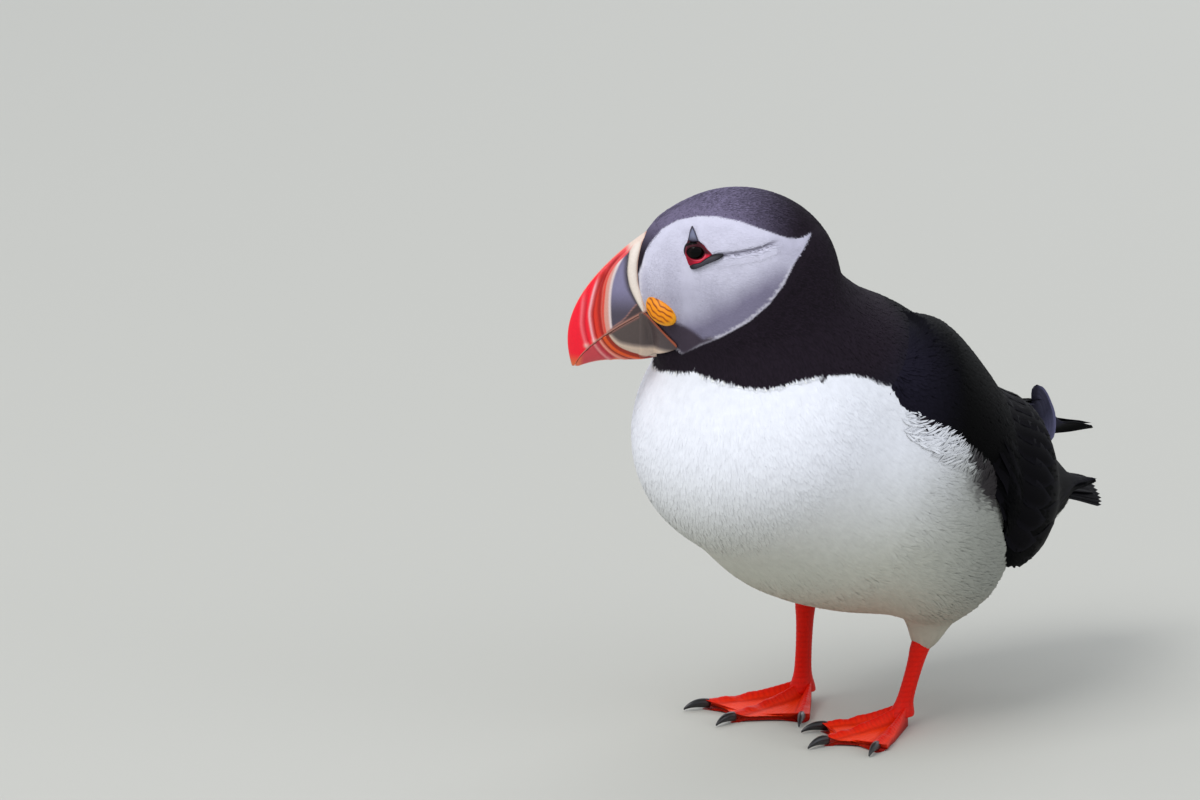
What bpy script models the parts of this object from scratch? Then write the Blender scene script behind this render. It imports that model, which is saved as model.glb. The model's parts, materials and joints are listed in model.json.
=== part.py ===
"""Atlantic puffin, adult in summer dress, standing with its head turned to its right.

A life-size still model.  The body is one smooth form: a blend of named
ellipsoids, the masses.  A curved axis runs through it from behind the tail,
through the trunk and up the neck to the crown.  Rings square to that axis find
the surface of the form, so head, neck and trunk share one outline and are
parted by thin gaps between flat ring planes.  Bill, eyes, wings, tail, thighs
and feet are made round it and cut back to it with a small clearance.

Tables and functions work in millimetres; MM turns them to metres at the mesh.
The bird faces -Y, +X is its left side and it stands on Z = 0.
"""
import math

import bmesh
import bpy
import numpy as np

for old in list(bpy.data.objects):
    bpy.data.objects.remove(old, do_unlink=True)

MM = 0.001
GAP = 0.3                      # clearance between neighbouring solids
STAND = (0.65, -29.48)         # puts the middle of the whole bird over the origin

# ---------------------------------------------------------------- frames

HEAD_YAW = -45.0               # degrees, the head is turned to the bird's right
HEAD = (0.0, -38.0, 154.5)     # middle of the skull


def turned(yaw, pitch):
    """Columns forward, left and up of a frame turned by yaw about Z and then
    pitched up; at yaw 0 it faces -Y."""
    y, p = math.radians(yaw), math.radians(pitch)
    forward = np.array([math.sin(y) * math.cos(p), -math.cos(y) * math.cos(p), math.sin(p)])
    left = np.array([math.cos(y), math.sin(y), 0.0])
    return np.stack([forward, left, np.cross(forward, left)], axis=1)


HEAD_TURN = turned(HEAD_YAW, 0.0)


def on_head(points):
    """Points given as (ahead, left, up) from the middle of the skull."""
    return np.asarray(points, float) @ HEAD_TURN.T + np.array(HEAD)


# ---------------------------------------------------------------- the form

# name: centre, radii (along, across, up), (yaw, pitch), width of the blend
MASSES = {
    "trunk":     ((0, 10, 88), (68, 44, 45.5), (0, 27), 1),
    "breast":    ((-2, -31, 105), (34, 42, 42.5), (0, 30), 16),
    "keel":      ((-1, -13, 79), (36.5, 34, 33), (0, 36), 16),
    "belly":     ((0, 18, 70), (44, 41, 34), (0, 8), 16),
    "left_ham":  ((25, 28, 59), (24, 18, 26), (0, 30), 14),
    "right_ham": ((-27, 32, 59), (24, 18, 26), (0, 30), 14),
    "rump":      ((0, 60, 71.5), (42, 29, 18.5), (0, 19), 16),
    "shoulders": ((0, 3, 115), (46, 40, 29.2), (0, 26), 16),
    "tail_root": ((0, 84, 63), (24, 15.5, 8.5), (0, 14), 12),
    "neck":      ((0, -28, 133), (32, 28, 31), (-20, 60), 16),
    "skull":     (tuple(on_head((1.5, 0, 0.5))), (32.5, 22, 28.5), (HEAD_YAW, 0), 10),
    "muzzle":    (tuple(on_head((19.5, 0, 1))), (14, 13, 19), (HEAD_YAW, 0), 8),
    "cheeks":    (tuple(on_head((5, 0, -12))), (23, 19, 20), (HEAD_YAW, 0), 8),
    "chin":      (tuple(on_head((11, 0, -21))), (17, 11.5, 12), (HEAD_YAW, 0), 8),
}


def ellipsoid(points, centre, radii, frame):
    """Distance to an ellipsoid to first order: k0 (k0 - 1) / k1, where k0 and k1
    are the lengths of the point divided by the radii once and twice."""
    local = (points - np.array(centre)) @ frame
    k0 = np.linalg.norm(local / radii, axis=-1)
    k1 = np.linalg.norm(local / np.square(radii), axis=-1)
    return k0 * (k0 - 1.0) / np.maximum(k1, 1e-9)


def form(points):
    """The blended form: negative inside, positive outside, near to millimetres.
    Each mass joins those before it with a cubic smooth minimum."""
    points = np.asarray(points, float)
    field = None
    for centre, radii, (yaw, pitch), width in MASSES.values():
        mass = ellipsoid(points, centre, np.array(radii, float), turned(yaw, pitch))
        if field is None:
            field = mass
        else:
            h = np.maximum(width - np.abs(field - mass), 0.0) / width
            field = np.minimum(field, mass) - h ** 3 * width / 6.0
    return field


# the axis, as (y, z) knots from behind the tail to above the crown
AXIS = np.array([(170, 44), (142, 52), (116, 60), (88, 67), (48, 79), (10, 91), (-14, 105),
                 (-28, 123), (-35, 141), (-38, 160), (-38, 190), (-38, 220)], float)


def axis(t):
    """Point, direction and down-or-front direction of the axis at t, which
    counts knots: a Catmull-Rom curve through them."""
    t = np.asarray(t, float)
    i = np.clip(np.floor(t).astype(int), 1, len(AXIS) - 3)
    u = (t - i)[..., None]
    a, b, c, d = AXIS[i - 1], AXIS[i], AXIS[i + 1], AXIS[i + 2]
    yz = b + 0.5 * u * (c - a + u * (2 * a - 5 * b + 4 * c - d + u * (3 * (b - c) + d - a)))
    slope = 0.5 * (c - a) + u * (2 * a - 5 * b + 4 * c - d) + 1.5 * u * u * (3 * (b - c) + d - a)
    slope = slope / np.linalg.norm(slope, axis=-1, keepdims=True)
    zero = np.zeros(t.shape)
    point = np.stack([zero, yz[..., 0], yz[..., 1]], axis=-1)
    ahead = np.stack([zero, slope[..., 0], slope[..., 1]], axis=-1)
    down = np.stack([zero, -slope[..., 1], slope[..., 0]], axis=-1)
    return point, ahead, down


def ray(t, angle, slide=0.0):
    """Start and direction of the ray at axis place t and angle in degrees, which
    runs from 0 at belly and throat through 90 on the left to 180 on the back.
    The start may slide along the axis, keeping the ring's plane parallel."""
    t, angle = np.broadcast_arrays(np.asarray(t, float), np.radians(angle))
    point, ahead, down = axis(t)
    side = np.array([1.0, 0.0, 0.0])
    way = np.cos(angle)[..., None] * down + np.sin(angle)[..., None] * side
    return point + slide * ahead, way


def reach(start, way, height=0.0):
    """How far along each ray the form's level `height` is first crossed: steps
    of 2 mm outwards, then halving.  A ray that starts outside gives 0."""
    far = np.zeros(start.shape[:-1])
    inside = form(start) < height
    crossed = ~inside
    for step in range(1, 60):
        beyond = form(start + way * (2.0 * step)) > height
        newly = beyond & ~crossed
        far[newly] = 2.0 * step
        crossed |= newly
    near = np.maximum(far - 2.0, 0.0)
    for _ in range(22):
        middle = 0.5 * (near + far)
        beyond = form(start + way * middle[..., None]) > height
        far = np.where(beyond, middle, far)
        near = np.where(beyond, near, middle)
    return np.where(inside, 0.5 * (near + far), 0.0)


# ---------------------------------------------------------------- meshes

def paint(colour, roughness):
    """A Principled material of one linear colour."""
    material = bpy.data.materials.new("finish")
    material.use_nodes = True
    shader = material.node_tree.nodes["Principled BSDF"]
    shader.inputs["Base Color"].default_value = (*colour, 1.0)
    shader.inputs["Roughness"].default_value = roughness
    shader.inputs["Metallic"].default_value = 0.0
    return material


BLACK = paint((0.010, 0.009, 0.013), 0.7)
WHITE = paint((0.80, 0.82, 0.86), 0.8)
RED = paint((0.85, 0.02, 0.02), 0.35)
ORANGE = paint((0.90, 0.06, 0.01), 0.5)
YELLOW = paint((0.85, 0.36, 0.01), 0.5)
CLAW = paint((0.03, 0.03, 0.04), 0.4)
EYE = paint((0.02, 0.01, 0.01), 0.05)


def loft(name, rings, material, start=None, end=None):
    """A closed solid through closed rings of equal count, given in millimetres.
    Each end closes on a pole: the point given, or the middle of the end ring."""
    rings = np.asarray(rings, float)
    rows, around = rings.shape[:2]
    poles = [rings[0].mean(0) if start is None else start, rings[-1].mean(0) if end is None else end]
    points = np.concatenate([rings.reshape(-1, 3), np.array(poles)]) + np.array([*STAND, 0.0])
    faces = []
    for i in range(rows - 1):
        for j in range(around):
            k = (j + 1) % around
            faces.append((i * around + j, i * around + k, (i + 1) * around + k, (i + 1) * around + j))
    first, last = rows * around, rows * around + 1
    for j in range(around):
        k = (j + 1) % around
        faces.append((j, first, k))
        faces.append(((rows - 1) * around + j, (rows - 1) * around + k, last))
    mesh = bpy.data.meshes.new(name)
    mesh.from_pydata((points * MM).tolist(), [], faces)
    shape = bmesh.new()
    shape.from_mesh(mesh)
    bmesh.ops.recalc_face_normals(shape, faces=shape.faces)
    bmesh.ops.triangulate(shape, faces=shape.faces)
    shape.to_mesh(mesh)
    shape.free()
    mesh.shade_smooth()
    mesh.materials.append(material)
    part = bpy.data.objects.new(name, mesh)
    bpy.context.scene.collection.objects.link(part)
    return part


def guide(part):
    """Marks an object as a cutter that is not part of the model."""
    part.hide_render = True
    part.display_type = "WIRE"
    return part


def cut(part, cutter):
    """Takes the cutter's volume out of the part."""
    boolean = part.modifiers.new("clear of " + cutter.name, "BOOLEAN")
    boolean.operation = "DIFFERENCE"
    boolean.object = cutter
    boolean.solver = "EXACT"


def eased(count, start=True, end=True):
    """Places from 0 to 1, closer together towards the ends that are eased."""
    u = np.linspace(0.0, 1.0, count)
    if start and end:
        return 0.5 - 0.5 * np.cos(math.pi * u)
    return 1.0 - np.cos(0.5 * math.pi * u) if start else np.sin(0.5 * math.pi * u)


def curve(points, u):
    """Bezier curve of any degree through its first and last control points."""
    points = np.asarray(points, float)
    u = np.asarray(u, float)[..., None]
    degree = len(points) - 1
    return sum(math.comb(degree, i) * u ** i * (1 - u) ** (degree - i) * points[i]
               for i in range(degree + 1))


def hull_ring(centre, across, up, wide, high, count, power=2.0):
    """Closed oval of half sizes wide and high, squarer for a higher power."""
    angle = np.arange(count) * 2 * math.pi / count
    c, s = np.cos(angle), np.sin(angle)
    x = np.sign(c) * np.abs(c) ** (2.0 / power) * wide
    y = np.sign(s) * np.abs(s) ** (2.0 / power) * high
    return np.asarray(centre) + x[:, None] * across + y[:, None] * up


# ---------------------------------------------------------------- head, neck and trunk

AROUND = 32                    # facets round the body
NECK_FROM, NECK_TO = 7.1, 7.85  # axis places of the thin cuts
TRUNK_RINGS, NECK_RINGS, HEAD_RINGS = 27, 6, 17


def surface_on_axis(inside, outside, height=0.0):
    """Axis place where the form's surface crosses the axis, by halving."""
    for _ in range(40):
        middle = 0.5 * (inside + outside)
        if form(axis(middle)[0]) < height:
            inside = middle
        else:
            outside = middle
    return inside


def body_rings(places, height=0.0, first_slide=0.0, last_slide=0.0):
    """Rings of the form's surface; the end rings may slide along the axis."""
    angles = np.arange(AROUND) * 360.0 / AROUND
    slides = np.zeros(len(places))
    slides[0], slides[-1] = first_slide, last_slide
    start, way = ray(places[:, None], angles[None, :], slides[:, None, None])
    return start + way * reach(start, way, height)[..., None]


def make_body():
    """Trunk, neck and head between the tail pole and the crown pole, parted
    where the end rings slide half a gap in, and a copy GAP larger all over."""
    tail, crown = surface_on_axis(3.0, 1.2), surface_on_axis(8.5, 10.9)
    trunk_at = tail + (NECK_FROM - tail) * eased(TRUNK_RINGS, True, False)
    neck_at = np.linspace(NECK_FROM, NECK_TO, NECK_RINGS)
    head_at = NECK_TO + (crown - NECK_TO) * eased(HEAD_RINGS, False, True)
    half = 0.5 * GAP
    loft("trunk", body_rings(trunk_at[1:], 0.0, 0.0, -half), WHITE, start=axis(tail)[0])
    loft("neck", body_rings(neck_at, 0.0, half, -half), BLACK)
    head = loft("head", body_rings(head_at[:-1], 0.0, half, 0.0), WHITE, end=axis(crown)[0])
    whole = np.concatenate([trunk_at[1:], neck_at[1:], head_at[1:-1]])
    clearance = loft("body_clearance", body_rings(whole, GAP), WHITE,
                     axis(surface_on_axis(3.0, 1.2, GAP))[0], axis(surface_on_axis(8.5, 10.9, GAP))[0])
    return head, guide(clearance)


# ---------------------------------------------------------------- bill and eyes

BILL_HALF_WIDTH = 8.8
CULMEN = [(18, 19), (27.5, 21.0), (44.4, 2.6), (61.6, -7.8), (53.6, -30.6)]
MOUTH = [(18, -4), (29.2, -8.9), (50.7, -20.7), (53.2, -29.4)]
GONYS = [(12, -17), (30.9, -33.9), (36.5, -23.3), (52.4, -29.6)]
EYE_AT = (14.9, 14.8, 11.6)
EYE_RADIUS = 4.0
ROSETTE_AT = (25.6, 12.6, -8.2)
ROSETTE = (6.2, 3.1, 4.0)       # half sizes along, out and across


def bill_half(name, edge, grip, material):
    """One half of the bill between the mouth line and its outer edge.  Across
    the bill each section is an arch: width falls to nothing on the edge."""
    u = np.linspace(0.0, 0.985, 15)
    mouth = curve(MOUTH, u)
    outer = curve(edge, u)
    wide = BILL_HALF_WIDTH * (1.0 - 0.86 * u ** 1.4)
    v = np.concatenate([np.linspace(0.0, 0.8, 5), [0.93, 1.0]])
    arch = (1.0 - v ** grip) ** 0.5 * (1.0 - 0.35 * v)
    rings = []
    for m, o, w in zip(mouth, outer, wide):
        lift = (o - m) / np.linalg.norm(o - m) * 0.5 * GAP
        line = m + lift + (o - m - lift) * v[:, None]
        left = [(a, w * k, b) for (a, b), k in zip(line, arch)]
        right = [(a, -s, b) for a, s, b in left[-2::-1]]
        rings.append(on_head(left + right))
    return loft(name, rings, material)


def ball(name, centre, radius, material, count=14):
    """A sphere as a loft of circles along the head's left."""
    turns = np.linspace(0.0, math.pi, count // 2 + 1)[1:-1]
    rings = [on_head(hull_ring((centre[0], centre[1] + radius * math.cos(a), centre[2]),
                               np.array([1.0, 0, 0]), np.array([0, 0, 1.0]),
                               radius * math.sin(a), radius * math.sin(a), count)) for a in turns]
    return loft(name, rings, material, on_head((centre[0], centre[1] + radius, centre[2])),
                on_head((centre[0], centre[1] - radius, centre[2])))


def rosette(name, side, larger=0.0):
    """The wrinkled skin at the corner of the mouth: a flat oval bead that leans
    down and back along the cheek and lies in with its slope."""
    lean, splay = math.radians(38.0), math.radians(32.0)
    along = np.array([-math.cos(lean) * math.cos(splay), math.sin(splay), -math.sin(lean) * math.cos(splay)])
    across = np.array([-math.sin(lean), 0.0, math.cos(lean)])
    out = np.cross(across, along)
    length, thick, width = np.array(ROSETTE) + larger
    rings = []
    for a in np.linspace(0.0, math.pi, 8)[1:-1]:
        centre = np.array(ROSETTE_AT) + out * thick * math.cos(a)
        ring = hull_ring(centre, along, across, length * math.sin(a), width * math.sin(a), 12)
        rings.append(on_head(ring * (1.0, side, 1.0)))
    poles = [on_head((np.array(ROSETTE_AT) + out * thick * k) * (1.0, side, 1.0)) for k in (1, -1)]
    return loft(name, rings, YELLOW, *poles)


def make_head_parts(head, clearance):
    upper = bill_half("bill_upper", CULMEN, 3.0, RED)
    lower = bill_half("bill_lower", GONYS, 4.0, RED)
    cut(upper, clearance)
    cut(lower, clearance)
    for side, word in ((1, "left"), (-1, "right")):
        centre = (EYE_AT[0], side * EYE_AT[1], EYE_AT[2])
        ball("eye_" + word, centre, EYE_RADIUS, EYE)
        cut(head, guide(ball("socket_" + word, centre, EYE_RADIUS + GAP, EYE, 18)))
        bead = rosette("rosette_" + word, side)
        cut(bead, clearance)
        room = guide(rosette("rosette_room_" + word, side, GAP))
        cut(upper, room)
        cut(lower, room)


# ---------------------------------------------------------------- wings and tail

WING_THICK = 5.2
WING_EDGE = 1.0
WING_CLEAR = 0.6
# axis place, lower and upper edge (degrees round the axis), least radius at each
WING_FRONT = [(6.55, 112, 134, 0, 0), (6.40, 106, 146, 0, 0), (6.0, 103, 155, 0, 0),
              (5.4, 103, 161, 0, 0), (5.0, 100.5, 164, 0, 0), (4.6, 96, 166, 0, 0),
              (4.3, 86.5, 167, 43, 0), (4.0, 60.5, 166, 46, 20), (3.75, 55, 161, 44.5, 26)]
WING_REAR = {
    "left": [(3.55, 60, 150, 40, 26), (3.38, 67, 142, 34, 19), (3.2, 76, 128, 27, 13),
             (2.85, 85, 108, 19.5, 10.5), (2.5, 92, 102, 16.5, 12), (2.35, 96, 101, 16, 15)],
    "right": [(3.5, 70, 161, 38.5, 28), (3.0, 80, 157, 32, 23), (2.6, 92, 154, 27, 24),
              (2.3, 104, 151, 24, 24), (2.1, 114, 148, 22, 22), (1.95, 124, 146, 21, 20),
              (1.7, 134, 147, 20, 20.5), (1.45, 145.5, 147.5, 20, 20)],
}


def smooth_rows(rows, count):
    """Rows read smoothly at evenly spaced places: knots joined by easing
    between the slopes of their neighbours, as a Catmull-Rom curve does."""
    rows = np.array(rows, float)
    rows = np.concatenate([[2 * rows[0] - rows[1]], rows, [2 * rows[-1] - rows[-2]]])
    out = []
    for x in np.linspace(1.0, len(rows) - 2.0, count):
        i = min(int(x), len(rows) - 3)
        u = x - i
        a, b, c, d = rows[i - 1:i + 3]
        out.append(b + 0.5 * u * (c - a + u * (2 * a - 5 * b + 4 * c - d + u * (3 * (b - c) + d - a))))
    return np.array(out)


def make_wing(word, side):
    """A folded wing: a shell that lies on the body from the wrist to the rump
    and runs free beyond it, thin along its edges, to the tips of the quills."""
    rows = smooth_rows(WING_FRONT + WING_REAR[word], 27)
    across = eased(8)
    bulge = (1.0 - np.abs(2.0 * across - 1.0) ** 3) ** 0.6
    rings = []
    for i, (t, low, high, least_low, least_high) in enumerate(rows):
        along = i / (len(rows) - 1)
        start, way = ray(t, side * (low + (high - low) * across))
        body = reach(start, way)
        least = least_low + (least_high - least_low) * across
        soft = 6.0
        h = np.maximum(soft - np.abs(body - least), 0.0) / soft
        base = np.maximum(body, least) + h ** 3 * soft / 6.0 + WING_CLEAR
        most = (WING_THICK * (1.0 - 0.75 * along) - WING_EDGE) * min(1.0, 4.0 * along + 0.1)
        thick = WING_EDGE + most * bulge
        outer = start + way * (base + thick)[:, None]
        inner = start + way * base[:, None]
        rings.append(np.concatenate([outer, inner[::-1]]))
    loft("wing_" + word, rings, BLACK)


TAIL = [(0, 82, 64), (0, 103, 61.5), (0, 120, 56)]
TAIL_HALF_WIDTH = 16.0


def make_tail(clearance):
    """The fan of tail feathers as one flat blade with a rounded end."""
    rings = []
    side = np.array([1.0, 0.0, 0.0])
    for u in np.append(eased(11, False, True)[:-1], 0.995):
        point = curve(TAIL, u)
        ahead = curve(TAIL, min(u + 0.01, 1.0)) - curve(TAIL, min(u + 0.01, 1.0) - 0.01)
        up = np.cross(side, ahead / np.linalg.norm(ahead))
        wide = TAIL_HALF_WIDTH * (0.72 + 0.28 * u) * math.sqrt(1.0 - max(0.0, (u - 0.62) / 0.38) ** 2.4)
        rings.append(hull_ring(point, side, up, max(wide, 1.0), 2.9 - 2.0 * u, 16, 2.6))
    cut(loft("tail", rings, BLACK), clearance)


# ---------------------------------------------------------------- legs and feet

ANKLE_TOP = 7.2                # flat top of the foot, on which the tarsus stands
TOE_LOW, TOE_HIGH = 3.4, 7.8   # height of a toe at its claw and at the ankle
WEB_TOP, WEB_BOTTOM = 1.7, 0.5
FOOT_BACK = 4.5                # the foot's fan is centred this far behind the ankle
# ankle on the floor, top of the scaly tarsus, top of the feathered thigh, toes
LEGS = {
    "left": dict(ankle=(18.0, 16.0), knee=(20.5, 22.5, 25.5), hip=(23.0, 29.0, 50.0),
                 toes=((-25, 26.0), (0, 35.5), (27, 33.0))),
    "right": dict(ankle=(-26.0, 16.0), knee=(-24.0, 15.5, 33.0), hip=(-24.0, 24.0, 54.0),
                  toes=((-24, 33.0), (4, 36.0), (38, 26.0))),
}


def fan_radius(toes, angle):
    """Front edge of the webbed foot: the toes' ends joined by hollow arcs."""
    angles = [a for a, _ in toes]
    lengths = [length + FOOT_BACK for _, length in toes]
    straight = np.interp(angle, angles, lengths)
    sag = np.zeros_like(straight)
    for (a, _), (b, _) in zip(toes, toes[1:]):
        inside = (angle > a) & (angle < b)
        sag = np.where(inside, np.abs(np.sin(math.pi * (angle - a) / (b - a))) ** 0.7, sag)
    return straight * (1.0 - 0.13 * sag)


def make_foot(word, leg):
    """Three toes in a web: sections across the fan from behind the ankle to
    the toes' ends, flat beneath, with a ridge along each toe."""
    toes = leg["toes"]
    edges = [a for a, _ in toes]
    angle = np.array([edges[0] - 5.0, edges[0] - 2.2, edges[0], edges[0] + 3.5,
                      0.5 * (edges[0] + edges[1]) - 3.0, 0.5 * (edges[0] + edges[1]) + 4.0,
                      edges[1] - 4.0, edges[1], edges[1] + 4.0,
                      0.5 * (edges[1] + edges[2]) - 4.0, 0.5 * (edges[1] + edges[2]) + 3.0,
                      edges[2] - 3.5, edges[2], edges[2] + 2.2, edges[2] + 5.0])
    front = fan_radius(toes, np.clip(angle, edges[0], edges[2]))
    front[[0, -1]] -= 3.0
    front[[1, -2]] -= 0.6
    centre = np.array([leg["ankle"][0], leg["ankle"][1] + FOOT_BACK, 0.0])
    rings = []
    for u in np.linspace(0.0, 1.0, 12):
        far = 3.0 + (front - 3.0) * u
        way = np.stack([np.sin(np.radians(angle)), -np.cos(np.radians(angle)), np.zeros(len(angle))], 1)
        floor = centre + way * far[:, None]
        toe_height = TOE_HIGH + (TOE_LOW - TOE_HIGH) * min(1.0, 1.5 * u) ** 0.7
        top = np.full(len(angle), WEB_TOP)
        bottom = np.full(len(angle), WEB_BOTTOM)
        for a in edges:
            off = far * np.radians(angle - a)
            near = np.exp(-(off / 2.3) ** 2)
            top = np.maximum(top, WEB_TOP + (toe_height - WEB_TOP) * near)
            bottom = np.where(np.abs(off) < 2.1, 0.0, bottom)
        top = np.minimum(top, ANKLE_TOP)
        upper = floor + top[:, None] * np.array([0.0, 0.0, 1.0])
        lower = floor + bottom[:, None] * np.array([0.0, 0.0, 1.0])
        rings.append(np.concatenate([upper, lower[::-1]]))
    loft("foot_" + word, rings, ORANGE)
    for number, (a, length) in enumerate(toes, start=1):
        make_claw(f"claw_{word}_{number}", centre, math.radians(a), length + FOOT_BACK + GAP)


def make_claw(name, centre, angle, start):
    """A claw bent down to the floor, from a round root to a blunt point."""
    ahead = np.array([math.sin(angle), -math.cos(angle), 0.0])
    across = np.array([math.cos(angle), math.sin(angle), 0.0])
    up = np.array([0.0, 0.0, 1.0])
    rings = []
    for u in np.linspace(0.0, 0.95, 6):
        path = curve([(0.0, 2.0), (4.2, 2.6), (6.8, 0.6)], u)
        size = 1.0 - 0.8 * u ** 1.6
        rings.append(hull_ring(centre + ahead * (start + path[0]) + up * path[1], across, up,
                               1.25 * size, 1.6 * size, 8))
    loft(name, rings, CLAW)


def make_leg(word, leg, clearance):
    """The scaly tarsus from the foot to the feathers, and the feathered thigh
    from there into the belly."""
    foot = np.array([leg["ankle"][0], leg["ankle"][1], ANKLE_TOP + GAP])
    knee, hip = np.array(leg["knee"]), np.array(leg["hip"])
    across, back = np.array([1.0, 0.0, 0.0]), np.array([0.0, 1.0, 0.0])
    rings = []
    for u in np.linspace(0.0, 1.0, 7):
        waist = 1.0 - 0.16 * math.sin(math.pi * u)
        rings.append(hull_ring(foot + (knee - foot) * u, across, back, 2.9 * waist, 3.7 * waist, 12))
    loft("tarsus_" + word, rings, ORANGE)
    way = (hip - knee) / np.linalg.norm(hip - knee)
    rings = []
    for u in np.append(0.0, np.linspace(0.06, 1.0, 7)):
        wide = 3.6 + 8.4 * u ** 1.3
        rings.append(hull_ring(knee + way * GAP + (hip - knee) * u, across, back,
                               wide * 0.9, wide * 1.15, 14))
    thigh = loft("thigh_" + word, rings, WHITE)
    cut(thigh, clearance)


# ---------------------------------------------------------------- the whole bird

head, clearance = make_body()
make_head_parts(head, clearance)
for word, side in (("left", 1.0), ("right", -1.0)):
    make_wing(word, side)
    make_foot(word, LEGS[word])
    make_leg(word, LEGS[word], clearance)
make_tail(clearance)
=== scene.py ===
import json
import math

import bpy
import numpy as np
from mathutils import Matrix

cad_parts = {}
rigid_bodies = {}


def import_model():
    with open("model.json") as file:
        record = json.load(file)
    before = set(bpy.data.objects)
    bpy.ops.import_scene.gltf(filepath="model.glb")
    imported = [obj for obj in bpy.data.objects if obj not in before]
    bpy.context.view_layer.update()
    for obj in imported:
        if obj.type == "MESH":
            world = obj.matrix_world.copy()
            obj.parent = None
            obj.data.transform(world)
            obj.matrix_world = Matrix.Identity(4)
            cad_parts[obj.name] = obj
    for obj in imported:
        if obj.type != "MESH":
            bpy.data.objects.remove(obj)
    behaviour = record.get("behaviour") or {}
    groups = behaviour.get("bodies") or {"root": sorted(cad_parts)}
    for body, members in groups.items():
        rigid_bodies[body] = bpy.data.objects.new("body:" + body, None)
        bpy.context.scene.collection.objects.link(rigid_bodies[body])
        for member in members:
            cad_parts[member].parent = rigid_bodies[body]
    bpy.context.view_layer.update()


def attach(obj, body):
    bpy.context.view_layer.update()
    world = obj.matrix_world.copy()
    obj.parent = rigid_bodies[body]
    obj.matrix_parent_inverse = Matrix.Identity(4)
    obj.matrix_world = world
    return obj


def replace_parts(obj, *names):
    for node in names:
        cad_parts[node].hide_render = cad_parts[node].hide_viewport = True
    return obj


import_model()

# ================================================================ the form
# The bird's body is one rounded form of flesh under its feathers: a blend of
# masses, the same as in the solids.  The thighs are added to it for the skin.

HEAD_YAW = -45.0
HEAD = (0.0, -38.0, 154.5)


def turned(yaw, pitch):
    """Columns forward, left and up of a frame turned by yaw about Z, then pitched."""
    y, p = math.radians(yaw), math.radians(pitch)
    forward = np.array([math.sin(y) * math.cos(p), -math.cos(y) * math.cos(p), math.sin(p)])
    left = np.array([math.cos(y), math.sin(y), 0.0])
    return np.stack([forward, left, np.cross(forward, left)], axis=1)


HEAD_TURN = turned(HEAD_YAW, 0.0)


def on_head(points):
    """Points given as (ahead, left, up) from the middle of the skull."""
    return np.asarray(points, float) @ HEAD_TURN.T + np.array(HEAD)


def in_head(points):
    """The reverse of on_head: (ahead, left, up) of points in the bird's frame."""
    return (np.asarray(points, float) - np.array(HEAD)) @ HEAD_TURN


# centre, radii (along, across, up), (yaw, pitch), width of the blend
MASSES = [
    ((0, 10, 88), (68, 44, 45.5), (0, 27), 1),           # trunk
    ((-2, -31, 105), (34, 42, 42.5), (0, 30), 16),       # breast
    ((-1, -13, 79), (36.5, 34, 33), (0, 36), 16),        # keel
    ((0, 18, 70), (44, 41, 34), (0, 8), 16),             # belly
    ((25, 28, 59), (24, 18, 26), (0, 30), 14),           # left ham
    ((-27, 32, 59), (24, 18, 26), (0, 30), 14),          # right ham
    ((0, 60, 71.5), (42, 29, 18.5), (0, 19), 16),        # rump
    ((0, 3, 115), (46, 40, 29.2), (0, 26), 16),          # shoulders
    ((0, 84, 63), (24, 15.5, 8.5), (0, 14), 12),         # tail root
    ((0, -28, 133), (32, 28, 31), (-20, 60), 16),        # neck
    (tuple(on_head((1.5, 0, 0.5))), (32.5, 22, 28.5), (HEAD_YAW, 0), 10),   # skull
    (tuple(on_head((19.5, 0, 1))), (14, 13, 19), (HEAD_YAW, 0), 8),         # muzzle
    (tuple(on_head((5, 0, -12))), (23, 19, 20), (HEAD_YAW, 0), 8),          # cheeks
    (tuple(on_head((11, 0, -21))), (17, 11.5, 12), (HEAD_YAW, 0), 8),       # chin
]
# the thighs, steep and slender, between the hams and the knees
THIGHS = [
    ((23.0, 29.0, 50.0), (27.5, 9.5, 10.0), (-21, -75), 6),
    ((-24.0, 24.0, 54.0), (24.5, 9.5, 10.0), (0, -68), 6),
]


def form(points, masses=MASSES):
    """The blended form in near millimetres, negative inside: each ellipsoid's
    k0 (k0 - 1) / k1 joins those before it with a cubic smooth minimum."""
    points = np.asarray(points, float)
    field = None
    for centre, radii, (yaw, pitch), width in masses:
        local = (points - np.array(centre)) @ turned(yaw, pitch) / np.array(radii, float)
        k0 = np.sqrt((local * local).sum(-1))
        k1 = np.sqrt(((local / np.array(radii, float)) ** 2).sum(-1))
        mass = k0 * (k0 - 1.0) / np.maximum(k1, 1e-9)
        if field is None:
            field = mass
        else:
            h = np.maximum(width - np.abs(field - mass), 0.0) / width
            field = np.minimum(field, mass) - h ** 3 * width / 6.0
    return field


AXIS = np.array([(170, 44), (142, 52), (116, 60), (88, 67), (48, 79), (10, 91), (-14, 105),
                 (-28, 123), (-35, 141), (-38, 160), (-38, 190), (-38, 220)], float)


def unit(v):
    """Vectors scaled to length one."""
    return v / np.maximum(np.linalg.norm(v, axis=-1, keepdims=True), 1e-9)


def through(rows, i, u):
    """Catmull-Rom curve at the part u of the way from row i to the next, a cubic
    that passes each row along the chord of its neighbours, and its slope."""
    a, b, c, d = rows[i - 1], rows[i], rows[i + 1], rows[i + 2]
    place = b + 0.5 * u * (c - a + u * (2 * a - 5 * b + 4 * c - d + u * (3 * (b - c) + d - a)))
    slope = 0.5 * (c - a) + u * (2 * a - 5 * b + 4 * c - d) + 1.5 * u * u * (3 * (b - c) + d - a)
    return place, slope


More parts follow.
